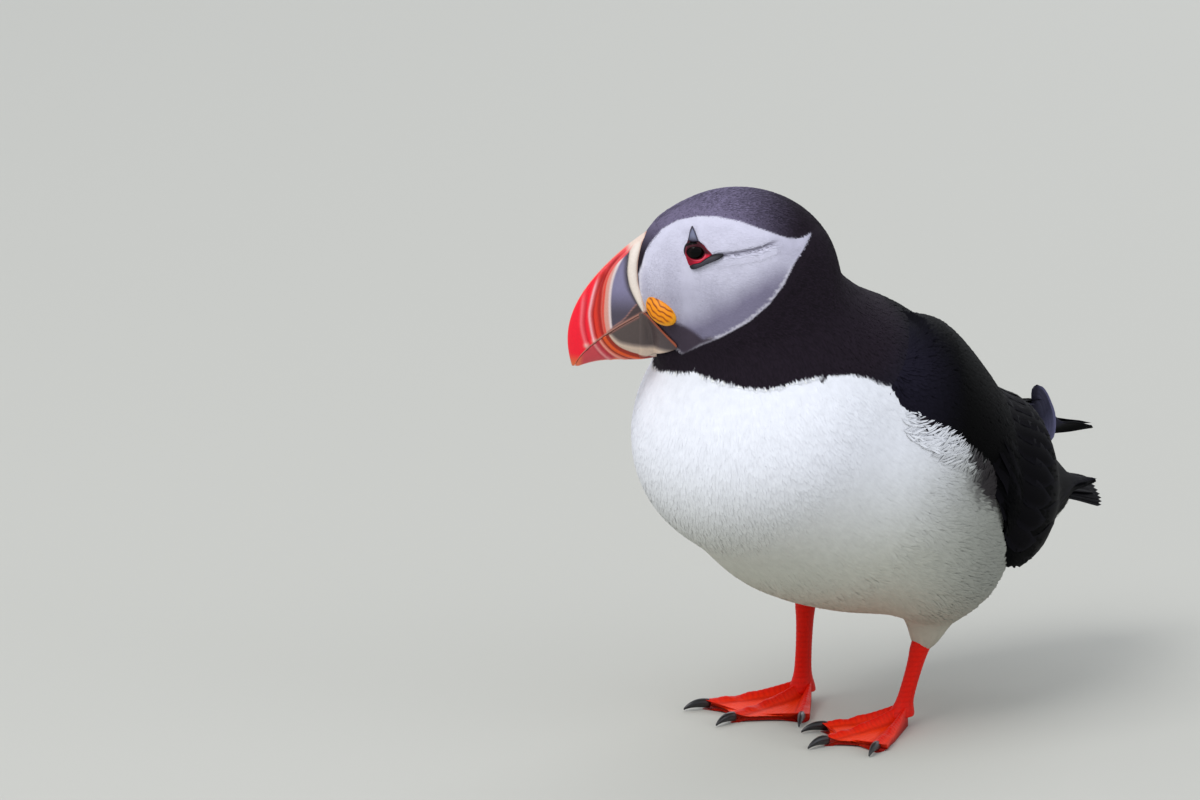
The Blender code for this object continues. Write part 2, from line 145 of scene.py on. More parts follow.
def axis(t):
    """Point of the body's axis at place t, and the direction square to the axis
    that points down, or to the front where the axis stands upright."""
    t = np.asarray(t, float)
    i = np.clip(np.floor(t).astype(int), 1, len(AXIS) - 3)
    yz, slope = through(AXIS, i, (t - i)[..., None])
    slope = unit(slope)
    zero = np.zeros(t.shape)
    return (np.stack([zero, yz[..., 0], yz[..., 1]], axis=-1),
            np.stack([zero, -slope[..., 1], slope[..., 0]], axis=-1))


def ray(t, angle):
    """Start and direction of the ray at axis place t and angle in degrees: 0 at
    belly and throat, 90 on the left, 180 on the back."""
    t, angle = np.broadcast_arrays(np.asarray(t, float), np.radians(angle))
    point, down = axis(t)
    return point, np.cos(angle)[..., None] * down + np.sin(angle)[..., None] * np.array([1.0, 0.0, 0.0])


def reach(start, way, height=0.0, masses=MASSES):
    """How far along each ray the form's level `height` is first crossed: steps
    of 2 mm outwards for the rays not yet through, then halving."""
    shape = start.shape[:-1]
    start, way = start.reshape(-1, 3), way.reshape(-1, 3)
    height = np.broadcast_to(np.asarray(height, float), shape).reshape(-1)
    far = np.zeros(len(start))
    live = np.nonzero(form(start, masses) < height)[0]
    begins_in = np.zeros(len(start), bool)
    begins_in[live] = True
    for step in range(1, 60):
        crossed = form(start[live] + way[live] * (2.0 * step), masses) > height[live]
        far[live[crossed]] = 2.0 * step
        live = live[~crossed]
        if not len(live):
            break
    near = np.maximum(far - 2.0, 0.0)
    for _ in range(14):
        middle = 0.5 * (near + far)
        beyond = form(start + way * middle[:, None], masses) > height
        far = np.where(beyond, middle, far)
        near = np.where(beyond, near, middle)
    return np.where(begins_in, 0.5 * (near + far), 0.0).reshape(shape)


# ================================================================ markings
# Feathers black above with a collar round the throat, white below, and a
# lilac-grey face between a dark crown and the collar; a dark wedge runs back
# from the mouth.  Skin and coat take their colours from the same markings.

def smooth(x, low, high):
    """0 below low, 1 above high, easing between."""
    u = np.clip((np.asarray(x, float) - low) / (high - low), 0.0, 1.0)
    return u * u * (3.0 - 2.0 * u)


def bell(x, width):
    """1 at x = 0, falling off on both sides as exp(-(x / width)^2)."""
    return np.exp(-(x / width) ** 2)


def ripple(points, size, seed):
    """A smooth wandering value near -1 to 1 over points, with swells of `size` mm."""
    rng = np.random.default_rng(seed)
    total = 0.0
    for _ in range(5):
        way = unit(rng.normal(size=3)) * rng.uniform(0.7, 1.6) * 2 * math.pi / size
        total = total + np.sin(points @ way + rng.uniform(0, 6.3))
    return total / 2.6


def linear(code):
    """An sRGB hex colour as linear red, green and blue."""
    part = np.array([int(code[i:i + 2], 16) / 255.0 for i in (1, 3, 5)])
    return np.where(part <= 0.04045, part / 12.92, ((part + 0.055) / 1.055) ** 2.4)


def mix(first, second, share):
    """Colours between first and second by a share of each point."""
    return first + (second - first) * np.asarray(share)[..., None]


def layered(colour, *layers):
    """Colours laid over a first one in turn, each by its own share."""
    for layer, share in layers:
        colour = mix(colour, linear(layer) if isinstance(layer, str) else layer, share)
    return colour


WHITE = linear("#f1f3fb")
# the belly's grey-green is partly its own tint and partly a painted reflection of the ground; SHADED is
# painted shade
BELLY_TINT_AND_REFLECTION = linear("#c3c4b9")
SHADED = linear("#8d8f88")
COLLAR = linear("#1e1620")
# the black of back and wings: a painted sheen in front, deepening to painted shade behind
BLACK_WITH_PAINTED_SHEEN = linear("#1b1925")
BLACK_IN_PAINTED_SHADE = linear("#020203")
CROWN = linear("#6e6680")
FACE = linear("#d0cee0")
FACE_SHADE = linear("#827d95")
WEDGE = linear("#443b47")
FLANK = linear("#221c20")

# where along the axis the face begins, and where the white of the throat ends
FACE_FROM, WHITE_TO = 7.3, 7.73
# degrees from the belly at which white turns to black, by axis place
BORDER_T = [1.5, 3.0, 3.84, 4.0, 4.08, 4.31, 4.64, 5.06, 5.45, 6.1, 6.44, 6.85,
            7.05, 7.23, 7.36, 7.43, 7.46, 7.52, 7.61, 7.67, 7.70]
BORDER_ANGLE = [60, 58, 55, 71, 83, 93, 97, 101.5, 105, 109.5, 108.5, 102.5,
                97.5, 89.5, 80, 68, 52, 37, 24, 7, 0]
# the face patch, (ahead, up) on the side of the head, from the brow backwards
FACE_EDGE = [(33.6, 2.0), (32.4, 6.0), (31.5, 9.4), (29.8, 12.6), (26.3, 17.1), (21.4, 20.2),
             (15.1, 22.0), (8.8, 22.3), (1.0, 21.2), (-6.9, 18.6), (-14.8, 15.7), (-18.5, 15.3),
             (-22.5, 16.2), (-19.6, 11.8), (-16.4, 7.7), (-13.3, 1.7), (-8.5, -4.4), (-2.2, -9.7),
             (7.2, -15.2), (13.5, -18.4), (19.8, -22.5), (28, -16), (33, -10)]
# the fold behind the eye, and the dark wedge behind the mouth
CREASE = np.array([(9.0, 11.2), (1.0, 12.2), (-5.3, 13.3), (-10.1, 14.8), (-13.0, 15.6)])
WEDGE_EDGE = [(31, -9), (24, -10), (21.4, -11.0), (18, -12.0), (15, -13.6), (12.9, -15.3), (9.5, -14.6),
              (8.5, -16.4), (13.5, -19), (19, -23.5), (24, -20), (30, -14)]
# the dark patch on the flank, (28 x axis place, 0.75 x degrees from the belly)
PATCH = [(132.2, 74.2), (123.8, 72.3), (117.9, 68.1), (114.8, 63.3), (118.4, 58.5), (126.3, 61.0),
         (129.6, 64.6), (131.0, 68.7)]


def to_segment(a, b, x0, y0, x1, y1):
    """Distance from points to a segment in a plane, and how far along it the
    nearest place lies, by dropping each point square on the segment."""
    dx, dy = x1 - x0, y1 - y0
    u = np.clip(((a - x0) * dx + (b - y0) * dy) / (dx * dx + dy * dy), 0, 1)
    return np.hypot(a - x0 - u * dx, b - y0 - u * dy), u


def inside(a, b, edge):
    """Signed distance to a closed outline in a plane, positive inside, where a
    line to one side crosses the outline an odd number of times."""
    edge = np.array(edge, float)
    best = np.full(np.shape(a), 1e9)
    hit = np.zeros(np.shape(a), int)
    for (x0, y0), (x1, y1) in zip(edge, np.roll(edge, -1, axis=0)):
        best = np.minimum(best, to_segment(a, b, x0, y0, x1, y1)[0])
        dx, dy = x1 - x0, y1 - y0
        hit += ((y0 > b) != (y1 > b)) & (a < x0 + (b - y0) / (dy if dy else 1e-9) * dx)
    return np.where(hit % 2 == 1, best, -best)


def near_line(a, b, line):
    """Distance to an open line, signed positive above it, and how far along."""
    best = np.full(np.shape(a), 1e9)
    above = np.zeros(np.shape(a))
    along = np.zeros(np.shape(a))
    for n, ((x0, y0), (x1, y1)) in enumerate(zip(line, line[1:])):
        d, u = to_segment(a, b, x0, y0, x1, y1)
        closer = d < best
        best = np.where(closer, d, best)
        above = np.where(closer, np.sign((a - x0) * (y1 - y0) - (b - y0) * (x1 - x0)), above)
        along = np.where(closer, (n + u) / (len(line) - 1), along)
    return best * above, along


def from_belly(angle):
    """Degrees from the belly, to either side, of an angle round the body."""
    return np.abs((np.asarray(angle) + 180.0) % 360.0 - 180.0)


def border_at(t):
    """Degrees from the belly at which white turns to black."""
    return np.interp(t, BORDER_T, BORDER_ANGLE)


def inky(points):
    """The black of back and wings: a painted brown-violet sheen in front that darkens rearwards into painted
    shade.
    """
    return mix(BLACK_WITH_PAINTED_SHEEN, BLACK_IN_PAINTED_SHADE, smooth(points[..., 1], -6.0, 20.0))


def markings(points, t, angle):
    """Colour of the plumage by place, and how far inside the face patch it lies:
    black to white across the border, then each mark over the ones before it.
    Painted shade, sheen, highlights and reflection are laid in with the marks."""
    turn = from_belly(angle)
    a, s, b = np.moveaxis(in_head(points), -1, 0)
    y, z = points[..., 1], points[..., 2]
    white = smooth(border_at(t) - turn, -0.7, 0.7) * (t < WHITE_TO)
    white = np.maximum(white, smooth(z, 50.0, 47.0))
    # lower down the white turns grey-green, partly its own tint and partly a painted reflection, and brown
    # at the very bottom, a painted reflection of the ground; towards the rear belly painted shade darkens it
    pale = mix(mix(WHITE, BELLY_TINT_AND_REFLECTION, smooth(z, 106.0, 55.0)), linear("#b3a68f"), 0.6 * smooth(z, 58.0, 36.0))
    shade = 0.95 * smooth(y, -14.0, 34.0) * smooth(turn, 5.0, 55.0) * smooth(z, 112.0, 80.0)
    pale = mix(pale, SHADED, shade)
    dark = mix(inky(points), COLLAR, smooth(t, 6.2, 7.0))
    colour = mix(dark, pale, white)
    patch = inside(28.0 * t + 0.0 * turn, 0.75 * turn + 0.0 * t, PATCH) + 1.3 * ripple(points, 3.6, 9)
    patch = smooth(patch, -3.4, 1.8)
    colour = mix(colour, FLANK, 0.95 * patch * white * smooth(z, 48.0, 60.0))
    # two black nicks in the edge of the white on the left, by the wing and the throat
    nick = smooth(np.hypot((t - 5.45) / 0.22, (turn - 102.9 - 6.0 * (t - 5.45)) / 1.1), 1.2, 0.8)
    nick = np.maximum(nick, smooth(np.hypot((t - 7.30) / 0.03, (turn - 82.5) / 4.0), 1.2, 0.8))
    colour = mix(colour, COLLAR, nick * (s > 0.0))
    face = np.where((t > FACE_FROM) & (np.abs(s) > 2.0), inside(a, b, FACE_EDGE), -9.0)
    crown = smooth(b, 8.0, 20.0) * (t > 7.7) * smooth(a, -20.0, 9.0)
    colour = mix(colour, CROWN, crown * (1.0 - white))
    fold, along = near_line(a, b, CREASE)
    # the face darkens below and towards its lower rear edge in painted shade, is its own grey towards the
    # rear, varies a little at random, and has a painted highlight on the roll below the crease
    grey = 0.35 * smooth(b, 10.0, -6.0)
    grey = grey + 0.75 * smooth(face, 14.0, 3.0) * smooth(b, 14.0, 0.0) * smooth(a, 27.0, 18.0)
    grey = np.maximum(grey, 0.3 * smooth(a, -4.0, -16.0)) + 0.06 * ripple(points, 9.0, 3)
    grey = grey - 0.3 * bell(fold + 2.2, 1.6) * smooth(along, 1.0, 0.5)
    rim = face + 0.5 * ripple(points, 1.8, 8)
    # painted shade in the crease behind the eye, a painted highlight along the patch's lower edge, then the
    # dark wedge of the bird's own marking
    light = layered(mix(FACE, FACE_SHADE, np.clip(grey, 0, 1)),
                    ("#3c374a", 0.9 * bell(fold, 0.45) * smooth(along, 1.0, 0.6)),
                    ("#e6e3ee", 0.6 * smooth(rim, 1.4, 0.3) * smooth(b, 10.0, 4.0)),
                    (WEDGE, smooth(inside(a, b, WEDGE_EDGE), -0.3, 1.6)))
    return mix(colour, light, smooth(face, -0.2, 0.2)), face


# ================================================================ the skin
# One closed skin over head, neck, trunk and thighs, which shows only between
# the feathers.  It lies inside the form by the depth of the coat, 0.9 mm on the
# body and 0.5 mm on the face, with a socket for each eye.

MM = 0.001
STAND = np.array([0.65, -29.48, 0.0])


def in_row(points):
    """Places in the row frame, in metres, of points in the bird's own frame."""
    return (np.asarray(points, float) + STAND) * MM


def finish(name, roughness, shine=0.5, coat=0.0, grain=0.0, scale=1.0, relief=0.0, colour=None):
    """A finish whose colour is the piece's own paint unless one is given, with a
    noise of `scale` millimetres that varies it by `grain` and lifts it `relief` mm."""
    material = bpy.data.materials.new(name)
    material.use_nodes = True
    tree = material.node_tree
    shader = tree.nodes["Principled BSDF"]

    def add(kind, links=(), values=(), **properties):
        """A new node with its properties, its inputs' values and its links."""
        node = tree.nodes.new(kind)
        for key, value in properties.items():
            setattr(node, key, value)
        for key, value in values:
            node.inputs[key].default_value = value
        for key, source in links:
            tree.links.new(source, node.inputs[key])
        return node

    shader.inputs["Roughness"].default_value = roughness
    shader.inputs["Specular IOR Level"].default_value = shine
    shader.inputs["Coat Weight"].default_value = coat
    shader.inputs["Coat Roughness"].default_value = 0.08
    base = None
    if colour is None:
        base = add("ShaderNodeAttribute", attribute_name="paint").outputs["Color"]
    else:
        shader.inputs["Base Color"].default_value = (*linear(colour), 1.0)
    if grain or relief:
        place = add("ShaderNodeTexCoord").outputs["Object"]
        noise = add("ShaderNodeTexNoise", [("Vector", place)],
                    [("Scale", 1.0 / (scale * MM)), ("Detail", 3.0)]).outputs["Fac"]
        if grain:
            spread = add("ShaderNodeMapRange", [("Value", noise)],
                         [("From Min", 0.25), ("From Max", 0.75),
                          ("To Min", 1.0 - grain), ("To Max", 1.0 + grain)])
            base = add("ShaderNodeVectorMath", [("Vector", base), ("Scale", spread.outputs["Result"])],
                       operation="SCALE").outputs["Vector"]
        if relief:
            bump = add("ShaderNodeBump", [("Height", noise)], [("Distance", relief * MM)])
            tree.links.new(bump.outputs["Normal"], shader.inputs["Normal"])
    if base is not None:
        tree.links.new(base, shader.inputs["Base Color"])
    return material


def solid(name, points, loops, sizes, material, paint, uv, normals=None):
    """A shown piece from whole arrays: points in millimetres, the corners of all
    faces in one list, the size of each face, a colour at each point and a bake
    place at each point or corner.  Faces are turned outwards when the signed
    volume of the piece comes out negative."""
    points = in_row(points).reshape(-1, 3)
    starts = np.concatenate([[0], np.cumsum(sizes)[:-1]])
    a, b, c = points[loops[starts]], points[loops[starts + 1]], points[loops[starts + 2]]
    volume = np.einsum("ij,ij->i", a, np.cross(b, c)).sum()
    quad = sizes == 4
    d = points[loops[starts[quad] + 3]]
    volume += np.einsum("ij,ij->i", a[quad], np.cross(c[quad], d)).sum()
    uv = uv if len(uv) == len(loops) else uv[loops]
    if volume < 0.0:
        ends = np.repeat(starts + sizes - 1, sizes)
        order = ends - (np.arange(len(loops)) - np.repeat(starts, sizes))
        loops, uv = loops[order], uv[order]
    mesh = bpy.data.meshes.new(name)
    mesh.vertices.add(len(points))
    mesh.vertices.foreach_set("co", points.astype(np.float32).ravel())
    mesh.loops.add(len(loops))
    mesh.loops.foreach_set("vertex_index", loops.astype(np.int32))
    mesh.polygons.add(len(starts))
    mesh.polygons.foreach_set("loop_start", starts.astype(np.int32))
    mesh.polygons.foreach_set("use_smooth", np.ones(len(starts), bool))
    layer = mesh.attributes.new("paint", "FLOAT_COLOR", "POINT")
    rgba = np.ones((len(points), 4), np.float32)
    rgba[:, :3] = np.clip(paint.reshape(-1, 3), 0.0, 1.0)
    layer.data.foreach_set("color", rgba.ravel())
    layer = mesh.uv_layers.new(name="OFBake")
    layer.data.foreach_set("uv", uv.astype(np.float32).ravel())
    mesh.update(calc_edges=True)
    if normals is not None:
        mesh.normals_split_custom_set_from_vertices(normals.reshape(-1, 3).tolist())
    mesh.materials.append(material)
    piece = bpy.data.objects.new(name, mesh)
    bpy.context.scene.collection.objects.link(piece)
    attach(piece, "root")
    return piece


def tube(rings, start=None, end=None):
    """Points, corners, sizes and bake places of a closed skin through closed
    rings of equal count; each end closes on a pole, at the ring's middle unless
    it is given.  Each corner is first a (ring, place) pair, with the poles on
    the rings before the first and after the last."""
    rings = np.asarray(rings, float)
    rows, around = rings.shape[:2]
    start = rings[0].mean(0) if start is None else np.asarray(start)
    end = rings[-1].mean(0) if end is None else np.asarray(end)
    points = np.concatenate([rings.reshape(-1, 3), [start], [end]])
    i, j = (grid.ravel() for grid in np.meshgrid(np.arange(rows - 1), np.arange(around), indexing="ij"))
    quads = np.stack([i, j, i, j + 1, i + 1, j + 1, i + 1, j], -1)
    j = np.arange(around)
    low = np.stack([0 * j, j + 1, 0 * j, j, 0 * j - 1, j + 0.5], -1)
    high = np.stack([0 * j + rows - 1, j, 0 * j + rows - 1, j + 1, 0 * j + rows, j + 0.5], -1)
    ring, place = np.concatenate([quads.reshape(-1, 2), low.reshape(-1, 2), high.reshape(-1, 2)]).T
    loops = np.where(ring < 0, rows * around, np.where(ring == rows, rows * around + 1,
                                                       ring * around + place % around)).astype(int)
    sizes = np.concatenate([np.full(len(quads), 4), np.full(2 * around, 3)])
    return points, loops, sizes, np.stack([place, ring + 1.0], -1) / [around, rows + 1.0]


def ringed(name, rings, paint, material, poles=(), ends=None, place=None):
    """A closed piece through rings with a colour at each of their points.  Its
    poles take the first colour of their rings unless `ends` gives others, and its
    bake places follow the rings unless `place` works them out from the points."""
    points, loops, sizes, uv = tube(rings, *poles)
    ends = (paint[0, 0], paint[-1, 0]) if ends is None else ends
    paint = np.concatenate([paint.reshape(-1, 3), ends])
    return solid(name, points, loops, sizes, material, paint, uv if place is None else place(points))


def uphill(points, masses=MASSES, step=0.4):
    """Unit normals of the form: its slope by central differences."""
    slope = np.stack([form(points + e, masses) - form(points - e, masses)
                      for e in np.eye(3) * step], axis=-1)
    return unit(slope)


def square_to(v, w):
    """The part of vectors v at right angles to unit vectors w, scaled to one."""
    return unit(v - w * (v * w).sum(-1, keepdims=True))


EYE_AT = np.array([14.9, 14.8, 11.6])
EYE_RADIUS = 4.0
SKIN_MASSES = MASSES + THIGHS


def pole(inner, outer, height):
    """Axis place where the skin closes, by halving."""
    for _ in range(30):
        middle = 0.5 * (inner + outer)
        if form(axis(middle)[0]) < height:
            inner = middle
        else:
            outer = middle
    return inner


def coat_depth(points, t):
    """Depth of the skin under the form: thin on the face, a socket at each eye,
    a fold that runs back from the eye with a roll below it."""
    a, _, b = np.moveaxis(in_head(points), -1, 0)
    depth = 0.9 - 0.2 * smooth(t, 7.0, 8.0)
    face = np.where(t > FACE_FROM, inside(a, b, FACE_EDGE), -9.0)
    depth = depth - 0.2 * smooth(face, -2.0, 3.0)
    r = np.hypot(a - EYE_AT[0], b - EYE_AT[2])
    depth = depth + 2.4 * smooth(r, 3.4, 1.6) * (t > 7.6)
    d, along = near_line(a, b, CREASE)
    fade = smooth(along, 1.0, 0.55) * (t > 7.6)
    depth = depth + fade * (0.55 * bell(d, 0.75) - 0.5 * bell(d + 2.0, 1.5))
    return np.maximum(depth, 0.25)


AROUND = 256
tail_end, crown_end = pole(3.0, 1.2, -0.9), pole(8.5, 10.9, -0.7)
# the rings of the skin, closer together towards both poles and over the throat
ease = 1.0 - np.cos(0.5 * math.pi * np.linspace(0, 1, 166))
SKIN_T = np.concatenate([(tail_end + (7.1 - tail_end) * ease)[1:], np.linspace(7.1, 7.85, 32)[1:],
                         (7.85 + (crown_end - 7.85) * np.sin(0.5 * math.pi * np.linspace(0, 1, 134)))[1:-1]])
SKIN_ANGLE = np.arange(AROUND) * 360.0 / AROUND
start, way = ray(SKIN_T[:, None], SKIN_ANGLE[None, :])
outer = start + way * reach(start, way, 0.0)[..., None]
SKIN = start + way * reach(start, way, -coat_depth(outer, SKIN_T[:, None]), SKIN_MASSES)[..., None]
wrapped = np.concatenate([SKIN[:, -1:], SKIN, SKIN[:, :1]], axis=1)
SKIN_UP = unit(np.cross(np.gradient(wrapped, axis=1)[:, 1:-1], np.gradient(SKIN, axis=0)))
SKIN_UP = SKIN_UP * np.sign((SKIN_UP * way).sum(-1, keepdims=True))
SKIN_UP[[0, -1]] = uphill(SKIN[[0, -1]], SKIN_MASSES)
skin_paint, face_grid = markings(outer, SKIN_T[:, None], SKIN_ANGLE[None, :])
# loose barbs scatter the light, so the soft coat is matt with a faint unevenness
feather_finish = finish("soft feather", 0.85, shine=0.15, grain=0.05, scale=3.0)
skin = ringed("skin", SKIN, skin_paint, feather_finish,
              (axis(tail_end)[0], axis(crown_end)[0]))
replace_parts(skin, "head", "neck", "trunk", "thigh_left", "thigh_right")

# which way the feathers lie: along the body to the tail, down the thighs, and
# on the head back from the bill
lie = unit(-np.gradient(SKIN, axis=0))
back = HEAD_TURN @ np.array([-1.0, 0.0, -0.25])
on_skull = smooth(SKIN_T, 7.55, 8.35)[:, None, None]
lie = lie * (1.0 - on_skull) + back * on_skull
for centre, _, (yaw, pitch), _ in THIGHS:
    axial = turned(yaw, pitch)[:, 0]
    off = SKIN - np.array(centre)
    reach_down = off @ axial
    radial = np.linalg.norm(off - reach_down[..., None] * axial, axis=-1)
    near = (smooth(radial, 13.0, 8.0) * smooth(reach_down, 2.0, 12.0))[..., None]
    lie = lie * (1.0 - near) + axial * near
SKIN_LIE = square_to(lie, SKIN_UP)

# steps over the skin per unit of axis place and per degree round it
ROW_STEP = np.gradient(SKIN, SKIN_T, axis=0)
TURN_STEP = (np.roll(SKIN, -1, axis=1) - np.roll(SKIN, 1, axis=1)) * AROUND / 720.0


def moved(t, angle, move):
    """Axis place and angle after a small move over the skin, by least squares of
    (skin per unit of place) dt + (skin per degree) da = move."""
    i = np.clip(np.searchsorted(SKIN_T, t), 1, len(SKIN_T) - 2)
    j = (angle * AROUND / 360.0).astype(int) % AROUND
    x, y = ROW_STEP[i, j], TURN_STEP[i, j]
    xx, xy, yy = (x * x).sum(-1), (x * y).sum(-1), (y * y).sum(-1)
    mx, my = (move * x).sum(-1), (move * y).sum(-1)
    area = np.maximum(xx * yy - xy * xy, 1e-6)
    return (t + np.clip((mx * yy - my * xy) / area, -0.4, 0.4),
            angle + np.clip((my * xx - mx * xy) / area, -20.0, 20.0))


def scatter(seed, density):
    """Roots spread over the skin with `density` per square millimetre, given on
    its grid: place, outward and lie directions, axis place, angle, bake place."""
    rng = np.random.default_rng(seed)
    wrap = lambda g: np.concatenate([g, g[:, :1]], axis=1)
    grid, normal, flow = wrap(SKIN), wrap(SKIN_UP), wrap(SKIN_LIE)
    area = np.linalg.norm(np.cross(grid[1:, :-1] - grid[:-1, :-1], grid[:-1, 1:] - grid[:-1, :-1]), axis=-1)
    weight = (area * density[:-1]).ravel()
    total = weight.sum()
    count = int(total)
    pick = (np.arange(count) + rng.random(count)) / count * total
    cell = np.minimum(np.searchsorted(np.cumsum(weight), pick), weight.size - 1)
    i, j = cell // AROUND, cell % AROUND
    u, v = rng.random((2, count))

    def read(g):
        """A grid's values at the roots, mixed from the corners of their cells."""
        return ((g[i, j] * ((1 - u) * (1 - v))[:, None] + g[i + 1, j] * (u * (1 - v))[:, None])
                + (g[i, j + 1] * ((1 - u) * v)[:, None] + g[i + 1, j + 1] * (u * v)[:, None]))

    t = SKIN_T[i] + u * (SKIN_T[i + 1] - SKIN_T[i])
    place = np.stack([(j + v) / AROUND, (i + 1 + u) / (len(SKIN_T) + 1.0)], -1)
    return read(grid), unit(read(normal)), unit(read(flow)), t, (j + v) * 360.0 / AROUND, place, rng


# ================================================================ the soft coat
# Body feathers end in loose silky barbs.  Each blade is a thin three-sided
# spine that is rooted in the skin, leaves it at a low angle and bends back.

BLADE = np.array([(-1, 0), (0, 1), (1, 0)], float)      # section, (across, out)
BAKE_PATCH = 0.003


def feathers(name, path, side, up, half, thick, section, material, paint, place, lean=0.35):
    """Many like feathers in one piece.  Each follows its own path of points; the
    first and last close it.  Between them a section of (across, out) corners is
    laid over the half widths and thicknesses.  Its bake patch is BAKE_PATCH wide
    and high, at the place of its root; `lean` turns the shading of its edges."""
    n, stops = path.shape[:2]
    inner, corners = stops - 2, len(section)
    x, z = section[:, 0], section[:, 1]
    body = (path[:, 1:-1, None] + side[:, 1:-1, None] * (half[:, 1:-1, None] * x)[..., None]
            + up[:, 1:-1, None] * (thick[:, 1:-1, None] * z)[..., None])
    points = np.concatenate([path[:, :1], body.reshape(n, inner * corners, 3), path[:, -1:]], 1)
    j = np.arange(corners)
    k = (j + 1) % corners
    first = np.stack([0 * j, 1 + k, 1 + j], -1)
    i, jj = np.meshgrid(np.arange(inner - 1), j, indexing="ij")
    kk = (jj + 1) % corners
    quads = 1 + np.stack([i * corners + jj, i * corners + kk, (i + 1) * corners + kk,
                          (i + 1) * corners + jj], -1).reshape(-1, 4)
    base = 1 + (inner - 1) * corners
    last = np.stack([base + j, base + k, 0 * j + 1 + inner * corners], -1)
    one = np.concatenate([first.ravel(), quads.ravel(), last.ravel()])
    sizes = np.concatenate([np.full(corners, 3), np.full(len(quads), 4), np.full(corners, 3)])
    count = points.shape[1]
    loops = (one[None, :] + np.arange(n)[:, None] * count).reshape(-1)
    along = np.concatenate([[0.0], np.repeat(np.linspace(0, 1, stops)[1:-1], corners), [1.0]])
    across = np.concatenate([[0.0], np.tile(x, inner), [0.0]])
    uv = place[:, None] + np.stack([0.5 * BAKE_PATCH * across, BAKE_PATCH * along], -1)
    if paint.shape[1] == stops:
        paint = np.concatenate([paint[:, :1], np.repeat(paint[:, 1:-1], corners, axis=1), paint[:, -1:]], 1)
    out = up[:, 1:-1, None] * np.where(z < 0, -1.0, 1.0)[:, None] + side[:, 1:-1, None] * (lean * x)[:, None]
    normals = unit(np.concatenate([up[:, :1], out.reshape(n, inner * corners, 3), up[:, -1:]], 1))
    return solid(name, points, loops, np.tile(sizes, n), material,
                 paint, np.clip(uv, 0.0, 1.0).reshape(-1, 2), normals)


BLADE_STOPS = np.array([0.0, 0.34, 0.74, 1.0])


def blades(name, roots, length, width, rise, bend, sway, colour, shade=0.8, vary=0.05, thick=0.3,
           curl=0.0, stray=0.09, material=feather_finish):
    """Thin blades at the roots: height over the skin is length (rise s - bend s^2)
    at the part s of the length, so that tips come back towards the body.  They
    turn by `sway` from the way the coat lies and bend sideways by `curl`, each a
    little otherwise by `stray`; at the root they have `shade` of their brightness,
    a painted shade under the blades that lie over them."""
    root, up, flow, _, _, place, rng = roots
    count = len(root)
    turn = sway + rng.normal(0.0, stray, count)
    side = np.cross(up, flow)
    flow = unit(flow * np.cos(turn)[:, None] + side * np.sin(turn)[:, None])
    side = np.cross(up, flow)
    length = (length * rng.uniform(0.78, 1.2, count))[:, None]
    s = BLADE_STOPS
    hook = (rng.normal(0.0, 0.7 * stray, count) + curl)[:, None]
    path = (root[:, None] + flow[:, None] * (length * s)[..., None]
            + up[:, None] * (length * (rise * s - bend * s * s) - 0.1)[..., None]
            + side[:, None] * (length * hook * s * s)[..., None])
    half = np.array([0.0, 0.9, 0.8, 0.0]) * (0.5 * width * rng.uniform(0.8, 1.2, count))[:, None]
    colour = colour if colour.ndim == 3 else colour[:, None]
    colour = colour * rng.uniform(1.0 - vary, 1.0 + vary, count)[:, None, None]
    # the blades darken towards the root: painted shade under the blades that overlap them
    paint = colour * np.array([shade, 0.5 + 0.5 * shade, 1.0, 1.0])[None, :, None]
    many = lambda v: np.repeat(v[:, None], 4, axis=1)
    return feathers(name, path, many(side), many(up), half, thick * half, BLADE,
                    material, paint, place, 0.15)


# rear edge of the bill's flange, (up, ahead)
FLANGE_REAR = [(-12, 30.0), (-10.1, 30.7), (-5.5, 31.3), (-0.9, 32.6), (4.4, 32.8), (9, 32.0),
               (14.3, 30.7), (18, 29)]
# the regions of the coat, on the same grid as the skin
turn_grid = from_belly(SKIN_ANGLE)[None, :]
t_grid = SKIN_T[:, None] + 0.0 * turn_grid
border = border_at(SKIN_T)[:, None]
a_grid, _, b_grid = np.moveaxis(in_head(outer), -1, 0)
eye_gap = inside(a_grid, b_grid, [(18, 14), (18, 10), (16.5, 7.5), (10, 11), (13, 14.5), (15.7, 18)]) < 0.0
fold_grid, fold_along = near_line(a_grid, b_grid, CREASE)
fold_gap = (fold_grid > -0.4) & (fold_grid < 0.9) & (fold_along < 0.85)
is_face = (face_grid > 0.0) & eye_gap & ~fold_gap
is_white = ((turn_grid < border) | (outer[..., 2] < 48.0)) & (t_grid < WHITE_TO) & ~is_face
is_dark = ~is_white & ~is_face & (face_grid <= 0.0)
wing_low = np.interp(t_grid, [3.3, 3.75, 4.0, 4.3, 4.6, 5.0, 5.4, 6.0], [60, 58, 60, 86, 96, 100, 103, 103])
wing_high = np.interp(t_grid, [3.3, 3.75, 4.6, 5.4, 6.0], [140, 160, 166, 161, 155])
under_wing = ((t_grid < 5.9) & (t_grid > 3.3) & (turn_grid < wing_high - 9.0)
              & (turn_grid > np.maximum(wing_low + 12.0, border)))
bill_room = (a_grid < np.interp(b_grid, *np.array(FLANGE_REAR).T) - 0.2) | (t_grid < 7.6)


